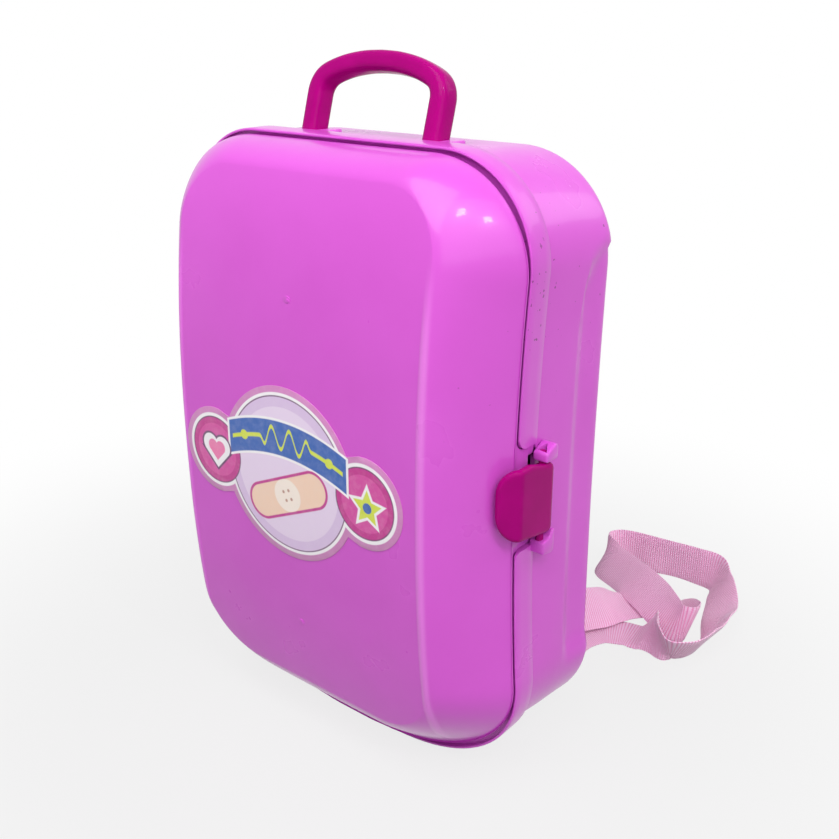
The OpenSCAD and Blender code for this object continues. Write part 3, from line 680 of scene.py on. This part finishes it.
def ended(tree, shape, given, result):
    """Ends a tree: the shape made real, with its given finish."""
    real, finish = tree.nodes.new("GeometryNodeRealizeInstances"), tree.nodes.new("GeometryNodeSetMaterial")
    tree.links.new(shape, real.inputs[0])
    tree.links.new(real.outputs[0], finish.inputs["Geometry"])
    tree.links.new(given.outputs["Finish"], finish.inputs["Material"])
    tree.links.new(finish.outputs[0], result.inputs[0])


def bar_tree():
    """Geometry Nodes: a bar of superelliptic section swept along a flat path."""
    tree = bpy.data.node_groups.new("bar along a path", "GeometryNodeTree")
    tree.interface.new_socket("Path", in_out="INPUT", socket_type="NodeSocketGeometry")
    for name, size in (("Across", BAR_X), ("Deep", BAR_Y)):
        socket = tree.interface.new_socket(name, in_out="INPUT", socket_type="NodeSocketFloat")
        socket.default_value = size * MM
    tree.interface.new_socket("Finish", in_out="INPUT", socket_type="NodeSocketMaterial")
    tree.interface.new_socket("Bar", in_out="OUTPUT", socket_type="NodeSocketGeometry")
    node, link, math_node = tree.nodes.new, tree.links.new, maths_in(tree)
    given, result = node("NodeGroupInput"), node("NodeGroupOutput")
    circle = node("GeometryNodeCurvePrimitiveCircle")
    circle.inputs["Resolution"].default_value = 40
    circle.inputs["Radius"].default_value = 0.5
    place, split = node("GeometryNodeInputPosition"), node("ShaderNodeSeparateXYZ")
    join = node("ShaderNodeCombineXYZ")
    link(place.outputs[0], split.inputs[0])
    doubled = [math_node("MULTIPLY", split.outputs[k], 2.0) for k in (0, 1)]
    raised = [math_node("POWER", math_node("ABSOLUTE", one), BAR_FULL) for one in doubled]
    swell = math_node("POWER", math_node("ADD", *raised), -1 / BAR_FULL)
    for k, size in ((0, "Across"), (1, "Deep")):
        swollen = math_node("MULTIPLY", split.outputs[k], swell)
        link(math_node("MULTIPLY", swollen, given.outputs[size]), join.inputs[k])
    shape, sweep = node("GeometryNodeSetPosition"), node("GeometryNodeCurveToMesh")
    link(circle.outputs["Curve"], shape.inputs["Geometry"])
    link(join.outputs[0], shape.inputs["Position"])
    link(given.outputs["Path"], sweep.inputs["Curve"])
    link(shape.outputs[0], sweep.inputs["Profile Curve"])
    sweep.inputs["Fill Caps"].default_value = True
    smooth = node("GeometryNodeSetShadeSmooth")
    link(sweep.outputs[0], smooth.inputs[0])
    ended(tree, smooth.outputs[0], given, result)
    return tree


def worked(thing, tree, **values):
    """Runs a node tree on a thing with its named inputs, and returns the plain mesh."""
    modifier = thing.modifiers.new("form", "NODES")
    modifier.node_group = tree
    for item in tree.interface.items_tree:
        if item.in_out == "INPUT" and item.name in values:
            modifier[item.identifier] = values[item.name]
    evaluated = thing.evaluated_get(bpy.context.evaluated_depsgraph_get())
    mesh = bpy.data.meshes.new_from_object(evaluated)
    name = thing.name
    bpy.data.objects.remove(thing)
    made = bpy.data.objects.new(name, mesh)
    bpy.context.scene.collection.objects.link(made)
    return made


half = rounded_path(HANDLE_HALF, 8)
line = np.vstack([half, half[-2::-1] * (-1, 1)])
curve = bpy.data.curves.new("carry_handle_bar", "CURVE")
curve.dimensions = "3D"
spline = curve.splines.new("POLY")
spline.points.add(len(line) - 1)
for point, (x, z) in zip(spline.points, line):
    point.co = (x * MM, 0, z * MM, 1)
curve.twist_mode = "MINIMUM"
handle_path = bpy.data.objects.new("carry_handle_bar", curve)
bpy.context.scene.collection.objects.link(handle_path)
handle = worked(handle_path, bar_tree(), Across=BAR_X * MM, Deep=BAR_Y * MM, Finish=trim_magenta)
lean_metres = (Matrix.Translation((0, HANDLE_Y * MM, ROOF_Z * MM))
               @ Matrix.Rotation(math.radians(-HANDLE_LEAN), 4, "X"))
handle.data.transform(lean_metres)
barbs = [block((s * LEG_X - 3, -6.5, -13.9), (s * LEG_X + 3, 6.5, -9.3), 0.6, lean) for s in (-1, 1)]
added(handle, gathered(*barbs), 40)
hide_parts("carry_handle")
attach(handle, "case")

# ---- Side latch ----------------------------------------------------------------
# A thumb latch moulded with its own stub pins. It turns between the bracket's ears,
# and its plate bends round the front shell's bevel, with large round front corners.
LATCH_T, BEND_Y, NOSE_LEN, NOSE_TURN = 3.5, -15.5, 8, 47
LATCH_REAR = LATCH_Y + 3.4
PLATE_LOW, PLATE_HIGH, UNDER_EAR, REAR_R, NOSE_ROUND = 117.4, 149.4, 2.6, 2.2, (9.6, 10)


def latch_middle():
    """Middle line of the plate in plan: x, y, turn, and the way gone along the nose."""
    x = LATCH_FACE - LATCH_T / 2
    rows = [(x, y, 0, -1) for y in np.linspace(LATCH_REAR, BEND_Y, 26)]
    for a in np.linspace(0, NOSE_TURN, 10)[1:]:
        rows.append((LATCH_FACE - LATCH_T + LATCH_T / 2 * math.cos(math.radians(a)),
                     BEND_Y - LATCH_T / 2 * math.sin(math.radians(a)), a, (a / NOSE_TURN - 1)))
    t = math.radians(NOSE_TURN)
    x0, y0 = rows[-1][:2]
    for s in np.sin(np.radians(np.linspace(0, 90, 22)))[1:] * NOSE_LEN:
        rows.append((x0 - math.sin(t) * s, y0 - math.cos(t) * s, NOSE_TURN, s))
    return rows


def latch_heights(y, nose):
    """Lower and upper edge of the plate: stepped down under the ear, round at the nose."""
    high = PLATE_HIGH - UNDER_EAR * min(1, max(0, (y + 10) / 8.8)) - 0.5 * ease((y + 1.2) / 5.8)
    low = max(PLATE_LOW, PLATE_LOW - 0.17 * (y - 1))
    rear = max(0, y - (LATCH_REAR - REAR_R)) / REAR_R
    lost = REAR_R * (1 - math.sqrt(max(0, 1 - rear * rear)))
    high, low = high - lost, low + lost
    if nose > -1:
        high -= NOSE_ROUND[0] * (1 - math.sqrt(max(0, 1 - ((nose + 1) / (NOSE_LEN + 1)) ** 2)))
        low += NOSE_ROUND[1] * (1 - math.sqrt(max(0, 1 - (max(0, nose) / NOSE_LEN) ** 2)))
    return low, high


def latch_rings():
    """The plate's rings, each a rounded section across its middle line."""
    rings = []
    for x, y, turn, nose in latch_middle():
        low, high = latch_heights(y, nose)
        ends = (max(0.0, nose) - NOSE_LEN + 1.7) / 1.7, (y - (LATCH_REAR - 1.2)) / 1.2
        slim = max(0, *ends)
        thick = LATCH_T / 2 * math.sqrt(max(0.06, 1 - slim * slim))
        a = math.radians(turn)
        nx, ny = math.cos(a), -math.sin(a)
        round_x, round_z = thick * 0.98, 2.6
        ring = []
        for cx, cz, start in ((thick - round_x, high - round_z, 0), (round_x - thick, high - round_z, 90),
                              (round_x - thick, low + round_z, 180), (thick - round_x, low + round_z, 270)):
            for b in np.radians(np.linspace(start, start + 90, 9)):
                along = cx + round_x * math.copysign(abs(math.cos(b)) ** 0.75, math.cos(b))
                ring.append((x + nx * along, y + ny * along,
                             cz + round_z * math.copysign(abs(math.sin(b)) ** 0.75, math.sin(b))))
        rings.append(np.array(ring))
    return rings


rings = latch_rings()
latch = mesh_object("side_latch_moulding", *skin(rings, rings[0].mean(axis=0), rings[-1].mean(axis=0)), 50)
added(latch, gathered(
    rod((LATCH_X, LATCH_Y), LATCH_FACE - LATCH_X - 0.3, LATCH_Z + 0.5, 145.2, 64, 0.9),
    rod((LATCH_X, LATCH_Y), STUB_R, 109.8, 151.1, 48, 0.4),
    block((TAB_X[1] + 0.5, DOOR_Y + 0.5, LATCH_Z + 4),
          (LATCH_FACE - LATCH_T + 0.5, DOOR_Y + 2.1, LATCH_Z + LATCH_H - 4), 0.4)), 50)
latch.data.materials.append(trim_magenta)
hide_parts("side_latch")
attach(latch, "latch")

# ---- Hinge pins and strap keepers ----------------------------------------------
# Small plain parts of natural nylon: the pins are pressed into the hinge knuckles,
# and the slotted keepers hold the webbing's ends inside the back panel.


def natural_nylon(name, shade):
    finish = Finish(name, IOR=1.53)
    cloud = finish.noise(180, 3, 0.5).ramp(0.3, 0.7)
    colour = finish.blend(cloud * 0.5, linear(*shade), linear(*(c * 0.93 for c in shade)))
    grain = finish.noise(1200, 2, 0.5)
    return finish.paint(Base_Color=colour, Roughness=0.42 + cloud * 0.12,
                        Normal=finish.bump(grain, 0.00005, 0.6))


pin_natural = natural_nylon("pin_natural", (226, 222, 214))
keeper_natural = natural_nylon("keeper_natural", (218, 214, 208))


def refinish(node_name, material):
    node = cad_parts[node_name]
    if not node.material_slots:
        node.data.materials.append(material)
    for slot in node.material_slots:
        slot.material = material


for name in ("hinge_pin_upper", "hinge_pin_lower"):
    refinish(name, pin_natural)
for level in ("upper", "lower"):
    for side in ("right", "left"):
        refinish(f"strap_keeper_{level}_{side}", keeper_natural)

# ---- Front sticker -------------------------------------------------------------
# A die-cut printed film on the panel: a disc with a round lobe on each side. The
# print is a plain picture-book set of a heart, a plaster strip, a star and a pulse
# line on a ribbon, over a lilac disc with a white ring.
STICKER_X, STICKER_Z, DISC_R, LOBE_R, LOBE_X, FILM_T = -3, 131, 37, 19, 42, 0.3


def sticker_edge(a):
    along, off = abs(LOBE_X * math.cos(a)), LOBE_X * math.sin(a)
    lobe = along + math.sqrt(LOBE_R ** 2 - off ** 2) if abs(off) < LOBE_R else 0
    return max(DISC_R, lobe)


def sticker_point(s, a, proud):
    r = sticker_edge(a) * s
    x, z = STICKER_X + r * math.cos(a), STICKER_Z + r * math.sin(a)
    return (x, DOOR_Y - DOOR_DEEP * float(dome(z)) - proud, z)


around = [-2 * math.pi * i / 240 for i in range(240)]
levels = [(s, 0.02) for s in (0.2, 0.4, 0.6, 0.8, 1)]
levels += [(1, FILM_T - 0.05), (0.997, FILM_T)] + [(s, FILM_T) for s in (0.9, 0.75, 0.6, 0.45, 0.3, 0.15)]
rings = [np.array([sticker_point(s, a, proud) for a in around]) for s, proud in levels]
sticker = mesh_object("front_sticker_film", *skin(
    rings, sticker_point(0, 0, 0.02), sticker_point(0, 0, FILM_T)), 40)


def sticker_print(name):
    finish = Finish(name, IOR=1.5, Coat_Roughness=0.1)
    x, y, z = finish.parts(finish.place())
    u, v = x * 1000 - STICKER_X, z * 1000 - STICKER_Z

    def inside(distance, soft=0.25):
        """1 inside a shape, given the distance to its edge, which is negative inside."""
        return (distance * -1).ramp(-soft, soft)

    def disc(cu, cv, r):
        return ((u - cu) * (u - cu) + (v - cv) * (v - cv)).root() - r

    def bar(cu, cv, turn, length, width):
        """A strip with round ends, turned by turn degrees."""
        c, s = math.cos(math.radians(turn)), math.sin(math.radians(turn))
        a, b = (u - cu) * c + (v - cv) * s, (v - cv) * c - (u - cu) * s
        over = (a.absolute() - (length - width) / 2).most(0)
        return (over * over + b * b).root() - width / 2

    def heart(cu, cv, size):
        a, b = (u - cu).absolute(), v - cv
        left, right = (disc(cu + side * size * 0.5, cv + size * 0.2, size * 0.62) for side in (-1, 1))
        lobes = left.least(right)
        wedge = ((a - b) * 0.7071 - size * 0.832).most(b + size * 0.15)
        return lobes.least(wedge)

    def star(cu, cv, size):
        a, b = u - cu, v - cv
        angle = b.join("ARCTAN2", a) - math.pi / 2
        spread = (a * a + b * b).root()
        fifth = 2 * math.pi / 5
        folded = ((angle / fifth + 0.5).join("FRACT") - 0.5).absolute() * fifth
        return spread * (0.42 * folded.cosine() + 0.907 * folded.sine()) - size * 0.42

    def over(colour, distance, shade, outline=None, width=1.0):
        if outline is not None:
            colour = finish.blend(inside(distance - width), colour, outline)
        return finish.blend(inside(distance), colour, shade)

    white, lilac, magenta = linear(250, 246, 250), linear(222, 196, 232), linear(196, 26, 140)
    blue, lime, plum = linear(34, 92, 178), linear(214, 226, 60), linear(96, 34, 96)
    edge = disc(0, 0, DISC_R).least(disc(LOBE_X, 0, LOBE_R)).least(disc(-LOBE_X, 0, LOBE_R))
    colour = finish.blend(inside(edge + 2.6), linear(206, 128, 188), white)
    colour = over(colour, disc(0, 0, DISC_R - 4.4), lilac, plum, 0.5)
    colour = over(colour, disc(0, 0, DISC_R - 8.5), linear(236, 216, 242))
    for side in (-1, 1):
        colour = over(colour, disc(side * LOBE_X, 0, LOBE_R - 4.6), magenta, plum, 0.5)
        colour = over(colour, disc(side * LOBE_X, 0, LOBE_R - 7.2), linear(214, 64, 160))
    # Ribbon with a pulse line
    bend = v - 15 + u * u * 0.006
    ribbon = (bend.absolute() - 7.2).most(u.absolute() - 33)
    colour = over(colour, ribbon, blue, white, 1.1)
    beat = (u * 0.62).sine() * (u.absolute() - 13).ramp(2, -2) * 4.4
    colour = finish.blend(inside((bend - beat).absolute() - 0.9, 0.3) * inside(ribbon + 1.8), colour, lime)
    for k in (-1, 1):
        colour = over(colour, disc(k * 24, 15 - 24 * 24 * 0.006, 2.1), lime)
    # Plaster strip across the disc
    plaster = bar(0, -9, 24, 46, 14)
    colour = over(colour, plaster, linear(250, 214, 190), magenta, 1.2)
    colour = over(colour, bar(0, -9, 24, 15, 14).most(plaster), linear(255, 240, 228))
    for du, dv in ((-1.6, 1.9), (1.6, 1.9), (-1.6, -1.9), (1.6, -1.9)):
        c, s = math.cos(math.radians(24)), math.sin(math.radians(24))
        colour = over(colour, disc(du * c - dv * s, -9 + du * s + dv * c, 0.7), linear(196, 150, 130))
    # Heart on the left lobe, star on the right one
    colour = over(colour, heart(-LOBE_X, 0.5, 7.4), white, plum, 0.9)
    colour = over(colour, heart(-LOBE_X, 0.5, 4.6), linear(240, 120, 176))
    colour = over(colour, star(LOBE_X + 1.4, -1.4, 7.6), lime, white, 1.1)
    colour = over(colour, disc(LOBE_X + 1.4, -1.4, 2.2), blue)
    faded = finish.noise(300, 3, 0.6).ramp(0.35, 0.8)
    colour = finish.blend(faded * 0.08, colour, white)
    wave = finish.noise(90, 2, 0.5)
    return finish.paint(Base_Color=colour, Roughness=0.3 + faded * 0.1, Coat_Weight=0.35 + faded * 0.1,
                        Normal=finish.bump(wave, 0.0002, 0.4))


sticker.data.materials.append(sticker_print("sticker_film"))
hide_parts("front_sticker")
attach(sticker, "door")

# ---- Back straps ---------------------------------------------------------------
# Light pink polypropylene webbing, ribbed across its width, one length a side. Each
# end passes through a slot in the back panel; the strap hangs down the panel and
# lies in a twisted loop on whatever the case stands on.
WEB_W, WEB_T = 22, 1.3
IN_Y, FLAT_Z = BACK_Y - 5, 0.8
RIB_PITCH, RIB_DEPTH, RING_STEP, ACROSS = 1.25, 0.1, 0.3125, 12

RIGHT_ROUTE = [
    (48, IN_Y, 30, -1, 0, 0), (48, 48.5, 30, -1, 0, 0), (49, 54.5, 22, -1, 0, 0),
    (49, 62, 8, -1, 0, 0), (49, 74, FLAT_Z, -1, 0, 0), (48, 90, FLAT_Z, -1, 0.1, 0),
    (48, 104, FLAT_Z, -0.9, 0.4, 0), (54, 117, FLAT_Z, -0.6, 0.8, 0),
    (64, 123, FLAT_Z, -0.41, 0.91, 0), (72.5, 125, FLAT_Z, -0.4, 0.9, 0),
    (77.2, 125.4, 2.6, -0.39, 0.88, 0.2), (81.6, 123, 5.4, -0.36, 0.75, 0.5),
    (86.4, 118.4, 8.6, -0.25, 0.35, 0.85), (91.2, 114.4, 10.2, -0.12, -0.2, 0.93),
    (96.7, 112.8, 9.8, 0.08, -0.58, 0.81), (101.8, 116.7, 9.3, 0.23, -0.57, 0.77),
    (105, 122.5, 8.8, 0.32, -0.55, 0.73), (106.3, 131, 8.3, 0.4, -0.54, 0.69),
    (105.5, 144.8, 7.4, 0.55, -0.5, 0.62), (99, 165, 6.4, 0.8, -0.2, 0.52),
    (90.5, 183, 8, 0.6, 0, 0.78), (84, 193.5, 11.5, 0.2, 0.15, 0.98),
    (71, 195.2, 11.6, 0.14, 0.06, 0.99), (58, 194.4, 11.6, 0.18, 0.02, 0.98),
    (44.8, 191.8, 11.6, 0.07, 0.11, 0.99), (33.5, 190.4, 11.5, 0, 0.1, 1),
    (25.5, 186, 11.3, 0, 0.3, 0.95), (23, 178, 11.2, 0.07, 0.55, 0.83),
    (29, 170, 11, 0.2, 0.62, 0.76), (42, 163, 11.8, 0.35, 0.63, 0.7),
    (55, 155, 13, 0.36, 0.64, 0.68), (68, 147, 13.4, 0.36, 0.62, 0.68),
    (80, 139, 12, 0.36, 0.42, 0.83), (88.5, 134.8, 10.6, 0.34, 0.15, 0.93),
    (93.6, 136.4, 10, 0.25, 0.16, 0.95), (93.8, 141.4, 8.4, 0.18, 0.42, 0.88),
    (88.5, 146.2, 7.2, 0.1, 0.68, 0.72), (80.5, 150, 5.2, -0.05, 0.9, 0.4),
    (71, 152, 3, -0.15, 0.97, 0.04), (61, 149, 3.4, -0.4, 0.9, 0),
    (54, 140.5, 5.4, -0.62, 0.75, 0.12), (51.5, 132.5, 8.6, -0.65, 0.62, 0.35),
    (50.5, 124.5, 10.6, -0.6, 0.5, 0.62), (46.5, 114, 12.6, -0.5, 0.4, 0.75),
    (41, 102, 13.4, -0.25, 0.3, 0.9), (37.5, 90, 16.5, 0.1, 0.2, 0.97),
    (35.5, 78, 23, 0.55, 0.1, 0.8), (34.5, 67, 37, 0.9, 0, 0.4), (35, 59.5, 60, 1, 0, 0.1),
    (36, 54, 100, 1, 0, 0), (37, 51.5, 150, 1, 0, 0), (38, 50, 195, 1, 0, 0),
    (38, 49.5, 209, 1, 0, 0), (38, 47, 213.4, 1, 0, 0), (38, IN_Y, 214, 1, 0, 0)]
EDGE_Z = 11.6
LEFT_ROUTE = [
    (-48, IN_Y, 30, 1, 0, 0), (-48, 48.5, 30, 1, 0, 0), (-49, 54.5, 22, 1, 0, 0), (-50, 62, 7, 1, 0, 0),
    (-51, 74, FLAT_Z, 1, 0, 0), (-55, 92, FLAT_Z, 1, 0.2, 0), (-57, 110, FLAT_Z, 1, 0.1, 0),
    (-53, 126, FLAT_Z, 0.9, -0.4, 0), (-43, 138, FLAT_Z, 0.5, -0.8, 0), (-28, 142, 1.2, 0, -1, 0.1),
    (-14, 136, 4, -0.5, -0.8, 0.3), (-8, 123, 8, -0.8, -0.2, 0.6), (-10, 109, 10, -0.6, 0.2, 0.8),
    (-17, 96, EDGE_Z, -0.3, 0.1, 1), (-24, 84, 14, 0.3, -0.1, 0.9), (-30, 72, 24, 0.8, 0, 0.5),
    (-34, 62, 46, 1, 0, 0.1), (-36, 55, 90, 1, 0, 0), (-37, 51.5, 145, 1, 0, 0), (-38, 50, 195, 1, 0, 0),
    (-38, 49.5, 209, 1, 0, 0), (-38, 47, 213.4, 1, 0, 0), (-38, IN_Y, 214, 1, 0, 0)]


def webbing_path(route):
    """Points along a route at even steps, with the tangent and the way of the width."""
    fine = rounded_path(route, 24)
    length = np.concatenate([[0], np.cumsum(np.linalg.norm(np.diff(fine[:, :3], axis=0), axis=1))])
    steps = int(round(length[-1] / RING_STEP))
    even = np.linspace(0, length[-1], steps + 1)
    rows = np.column_stack([np.interp(even, length, fine[:, k]) for k in range(6)])
    centre = rows[:, :3]
    tangent = np.gradient(centre, axis=0)
    window = np.ones(9) / 9
    tangent = np.column_stack([np.convolve(np.pad(way, 4, "edge"), window, "valid") for way in tangent.T])
    tangent /= np.linalg.norm(tangent, axis=1)[:, None]
    width = rows[:, 3:]
    width = width - (width * tangent).sum(axis=1)[:, None] * tangent
    width /= np.linalg.norm(width, axis=1)[:, None]
    return centre.copy(), tangent, width, even


def webbing(name, route):
    """A ribbon of webbing with round selvedges; its own map runs along it, in metres."""
    centre, tangent, width, even = webbing_path(route)
    face = np.cross(tangent, width)
    reach = np.abs(width[:, 2]) * WEB_W / 2 + np.abs(face[:, 2]) * WEB_T / 2 + 0.1
    centre[:, 2] = np.maximum(centre[:, 2], reach)
    across = np.linspace(-1, 1, ACROSS + 1)
    half_t = WEB_T / 2 * np.sqrt(np.clip(1 - np.abs(across) ** 16, 0.12, 1))
    section = [(a * WEB_W / 2, t) for a, t in zip(across, half_t)]
    section += [(a * WEB_W / 2, -t) for a, t in zip(across[::-1], half_t[::-1])]
    rings = [centre + width * a + face * t for a, t in section]
    grid = np.stack(rings, axis=1)
    n, m = len(section), len(centre)
    thing = mesh_object(name, *skin(list(grid), centre[0], centre[-1]), 60)
    mesh = thing.data
    along = mesh.attributes.new("along", "FLOAT", "POINT")
    sideways = mesh.attributes.new("sideways", "FLOAT", "POINT")
    count = len(mesh.vertices)
    values = np.zeros(count, np.float32)
    values[:n * m] = np.repeat(even, n) * MM
    values[-1] = even[-1] * MM
    along.data.foreach_set("value", values)
    values = np.zeros(count, np.float32)
    values[:n * m] = np.tile([a * MM for a, t in section], m)
    sideways.data.foreach_set("value", values)
    return thing, float(even[-1])


def rib_tree():
    """Geometry Nodes: raises cross ribs on a ribbon, along its own length."""
    tree = bpy.data.node_groups.new("cross ribs", "GeometryNodeTree")
    tree.interface.new_socket("Ribbon", in_out="INPUT", socket_type="NodeSocketGeometry")
    for name, size in (("Pitch", RIB_PITCH), ("Depth", RIB_DEPTH), ("Half width", WEB_W / 2)):
        socket = tree.interface.new_socket(name, in_out="INPUT", socket_type="NodeSocketFloat")
        socket.default_value = size * MM
    tree.interface.new_socket("Finish", in_out="INPUT", socket_type="NodeSocketMaterial")
    tree.interface.new_socket("Webbing", in_out="OUTPUT", socket_type="NodeSocketGeometry")
    node, link, math_node = tree.nodes.new, tree.links.new, maths_in(tree)
    given, result = node("NodeGroupInput"), node("NodeGroupOutput")

    def named(name):
        one = node("GeometryNodeInputNamedAttribute")
        one.data_type = "FLOAT"
        one.inputs["Name"].default_value = name
        return one.outputs["Attribute"]

    turns = math_node("DIVIDE", named("along"), given.outputs["Pitch"])
    crest = math_node("COSINE", math_node("MULTIPLY", turns, 2 * math.pi))
    edge = math_node("DIVIDE", math_node("ABSOLUTE", named("sideways")), given.outputs["Half width"])
    fade = math_node("SUBTRACT", 1.0, math_node("POWER", edge, 12.0))
    height = math_node("MULTIPLY", math_node("MULTIPLY", crest, fade), given.outputs["Depth"])
    normal, scale = node("GeometryNodeInputNormal"), node("ShaderNodeVectorMath")
    scale.operation = "SCALE"
    link(normal.outputs[0], scale.inputs[0])
    link(height, scale.inputs["Scale"])
    move = node("GeometryNodeSetPosition")
    link(given.outputs["Ribbon"], move.inputs["Geometry"])
    link(scale.outputs[0], move.inputs["Offset"])
    ended(tree, move.outputs[0], given, result)
    return tree


def webbing_weave(name):
    """Ribs across the width, crossed by fine warp yarns that dot them like a twill; the crests are painted
    lighter and the troughs darker, as painted light and shade.
    """
    finish = Finish(name, IOR=1.45, Sheen_Weight=0.5, Sheen_Roughness=0.5)
    along = finish.node("ShaderNodeAttribute", {"attribute_name": "along"}, out="Fac") * 1000
    sideways = finish.node("ShaderNodeAttribute", {"attribute_name": "sideways"}, out="Fac") * 1000
    # Painted light and shade: the rib crests lighter, the troughs between them darker, and the yarn dots
    # brightest on the crests
    rib = ((along * (2 * math.pi / RIB_PITCH)).cosine() + 1) * 0.5
    row = (along / RIB_PITCH + 0.5).join("FLOOR")
    yarn = (sideways * (2 * math.pi / 1.1) + row * math.pi).cosine()
    dots = (yarn.ramp(-0.2, 0.9)) * (0.35 + rib * 0.65)
    fuzz = finish.noise(2600, 3, 0.6)
    cloud = finish.noise(40, 3, 0.5).ramp(0.3, 0.7)
    colour = finish.blend(rib.ramp(0.1, 0.6), linear(238, 140, 196), linear(255, 212, 242))
    colour = finish.blend(dots * 0.5, colour, linear(255, 226, 246))
    colour = finish.blend(cloud * 0.25, colour, linear(248, 178, 220))
    colour = finish.blend(fuzz.ramp(0.5, 0.8) * 0.25, colour, linear(255, 220, 240))
    normal = finish.bump(dots, 0.0002, 0.6)
    normal = finish.bump(fuzz, 0.00008, 0.6, normal)
    return finish.paint(Base_Color=colour, Roughness=0.62 + fuzz * 0.2, Normal=normal)


webbing_pink = webbing_weave("webbing_pink")
ribs = rib_tree()
for name, route in (("right", RIGHT_ROUTE), ("left", LEFT_ROUTE)):
    plain, length = webbing(f"back_strap_{name}", route)
    strap = worked(plain, ribs, Pitch=RIB_PITCH * MM, Depth=RIB_DEPTH * MM, Finish=webbing_pink)
    strap.data.shade_smooth()
    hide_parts(f"strap_{name}")
    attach(strap, "case")

# ---- Floor, light and backdrop -------------------------------------------------
# A plain white studio: a pale floor that keeps the case's shadow, a large soft key
# from the front right, a soft lamp over the front, a weak one behind, two small
# window-like lamps for the highlights on the bevel, and an even white surround.
floor_mesh = bpy.data.meshes.new("studio_floor")
floor_mesh.from_pydata([(-8, -8, 0), (8, -8, 0), (8, 8, 0), (-8, 8, 0)], [], [(0, 1, 2, 3)])
floor = bpy.data.objects.new("studio_floor", floor_mesh)
bpy.context.scene.collection.objects.link(floor)
white_floor = Finish("floor_white", Roughness=0.9, Base_Color=(0.36, 0.36, 0.36, 1))
out = next(n for n in white_floor.tree.nodes if n.type == "OUTPUT_MATERIAL")
rays = white_floor.node("ShaderNodeLightPath").socket.node
seen = Term(white_floor, rays.outputs["Is Camera Ray"])
for way in ("Is Glossy Ray", "Is Transmission Ray"):
    seen = seen.most(Term(white_floor, rays.outputs[way]))
x, y, z = white_floor.parts(white_floor.place())
away = (x * x + y * y).root().ramp(0.12, 0.42)
glow = white_floor.node("ShaderNodeEmission", None, {"Color": (1, 1, 1, 1), "Strength": 1.0})
mixed = white_floor.node("ShaderNodeMixShader", None, {
    0: seen * (0.8 + away * 0.2), 1: Term(white_floor, white_floor.shader.outputs[0]), 2: glow})
white_floor.tree.links.new(mixed.socket, out.inputs["Surface"])
floor_mesh.materials.append(white_floor.material)

world = bpy.data.worlds.new("white_surround")
bpy.context.scene.world = world
world.use_nodes = True
nodes, links = world.node_tree.nodes, world.node_tree.links
nodes.clear()
world_out, path = nodes.new("ShaderNodeOutputWorld"), nodes.new("ShaderNodeLightPath")
pick = nodes.new("ShaderNodeMixShader")
surround, seen_white = nodes.new("ShaderNodeBackground"), nodes.new("ShaderNodeBackground")
for backdrop, strength in ((surround, 0.22), (seen_white, 1.0)):
    backdrop.inputs["Color"].default_value = (1, 1, 1, 1)
    backdrop.inputs["Strength"].default_value = strength
ways = [path.outputs[way] for way in ("Is Camera Ray", "Is Glossy Ray", "Is Transmission Ray")]
for way in ways[1:]:
    either = nodes.new("ShaderNodeMath")
    either.operation = "MAXIMUM"
    links.new(ways[0], either.inputs[0])
    links.new(way, either.inputs[1])
    ways[0] = either.outputs[0]
links.new(ways[0], pick.inputs[0])
links.new(surround.outputs[0], pick.inputs[1])
links.new(seen_white.outputs[0], pick.inputs[2])
links.new(pick.outputs[0], world_out.inputs["Surface"])


def lamp(name, place, size, power, target=(0, 0, 0.13)):
    light = bpy.data.lights.new(name, "AREA")
    light.shape, light.size, light.energy = "SQUARE", size, power
    thing = bpy.data.objects.new(name, light)
    bpy.context.scene.collection.objects.link(thing)
    thing.location = place
    thing.rotation_euler = (Vector(target) - Vector(place)).to_track_quat("-Z", "Y").to_euler()
    return thing


lamp("key_right", (1.4, -0.8, 1.25), 2.0, 17.6)
lamp("top_front", (0.02, -0.42, 0.82), 0.6, 4.6)
lamp("behind_right", (0.75, 0.95, 0.95), 0.8, 4, (0.03, 0.12, 0.03))
lamp("window_a", (0.77, -0.56, 1.22), 0.16, 2.6)
lamp("window_b", (1.12, -0.3, 1.04), 0.13, 2.0)
bpy.context.scene.view_settings.view_transform = "Standard"
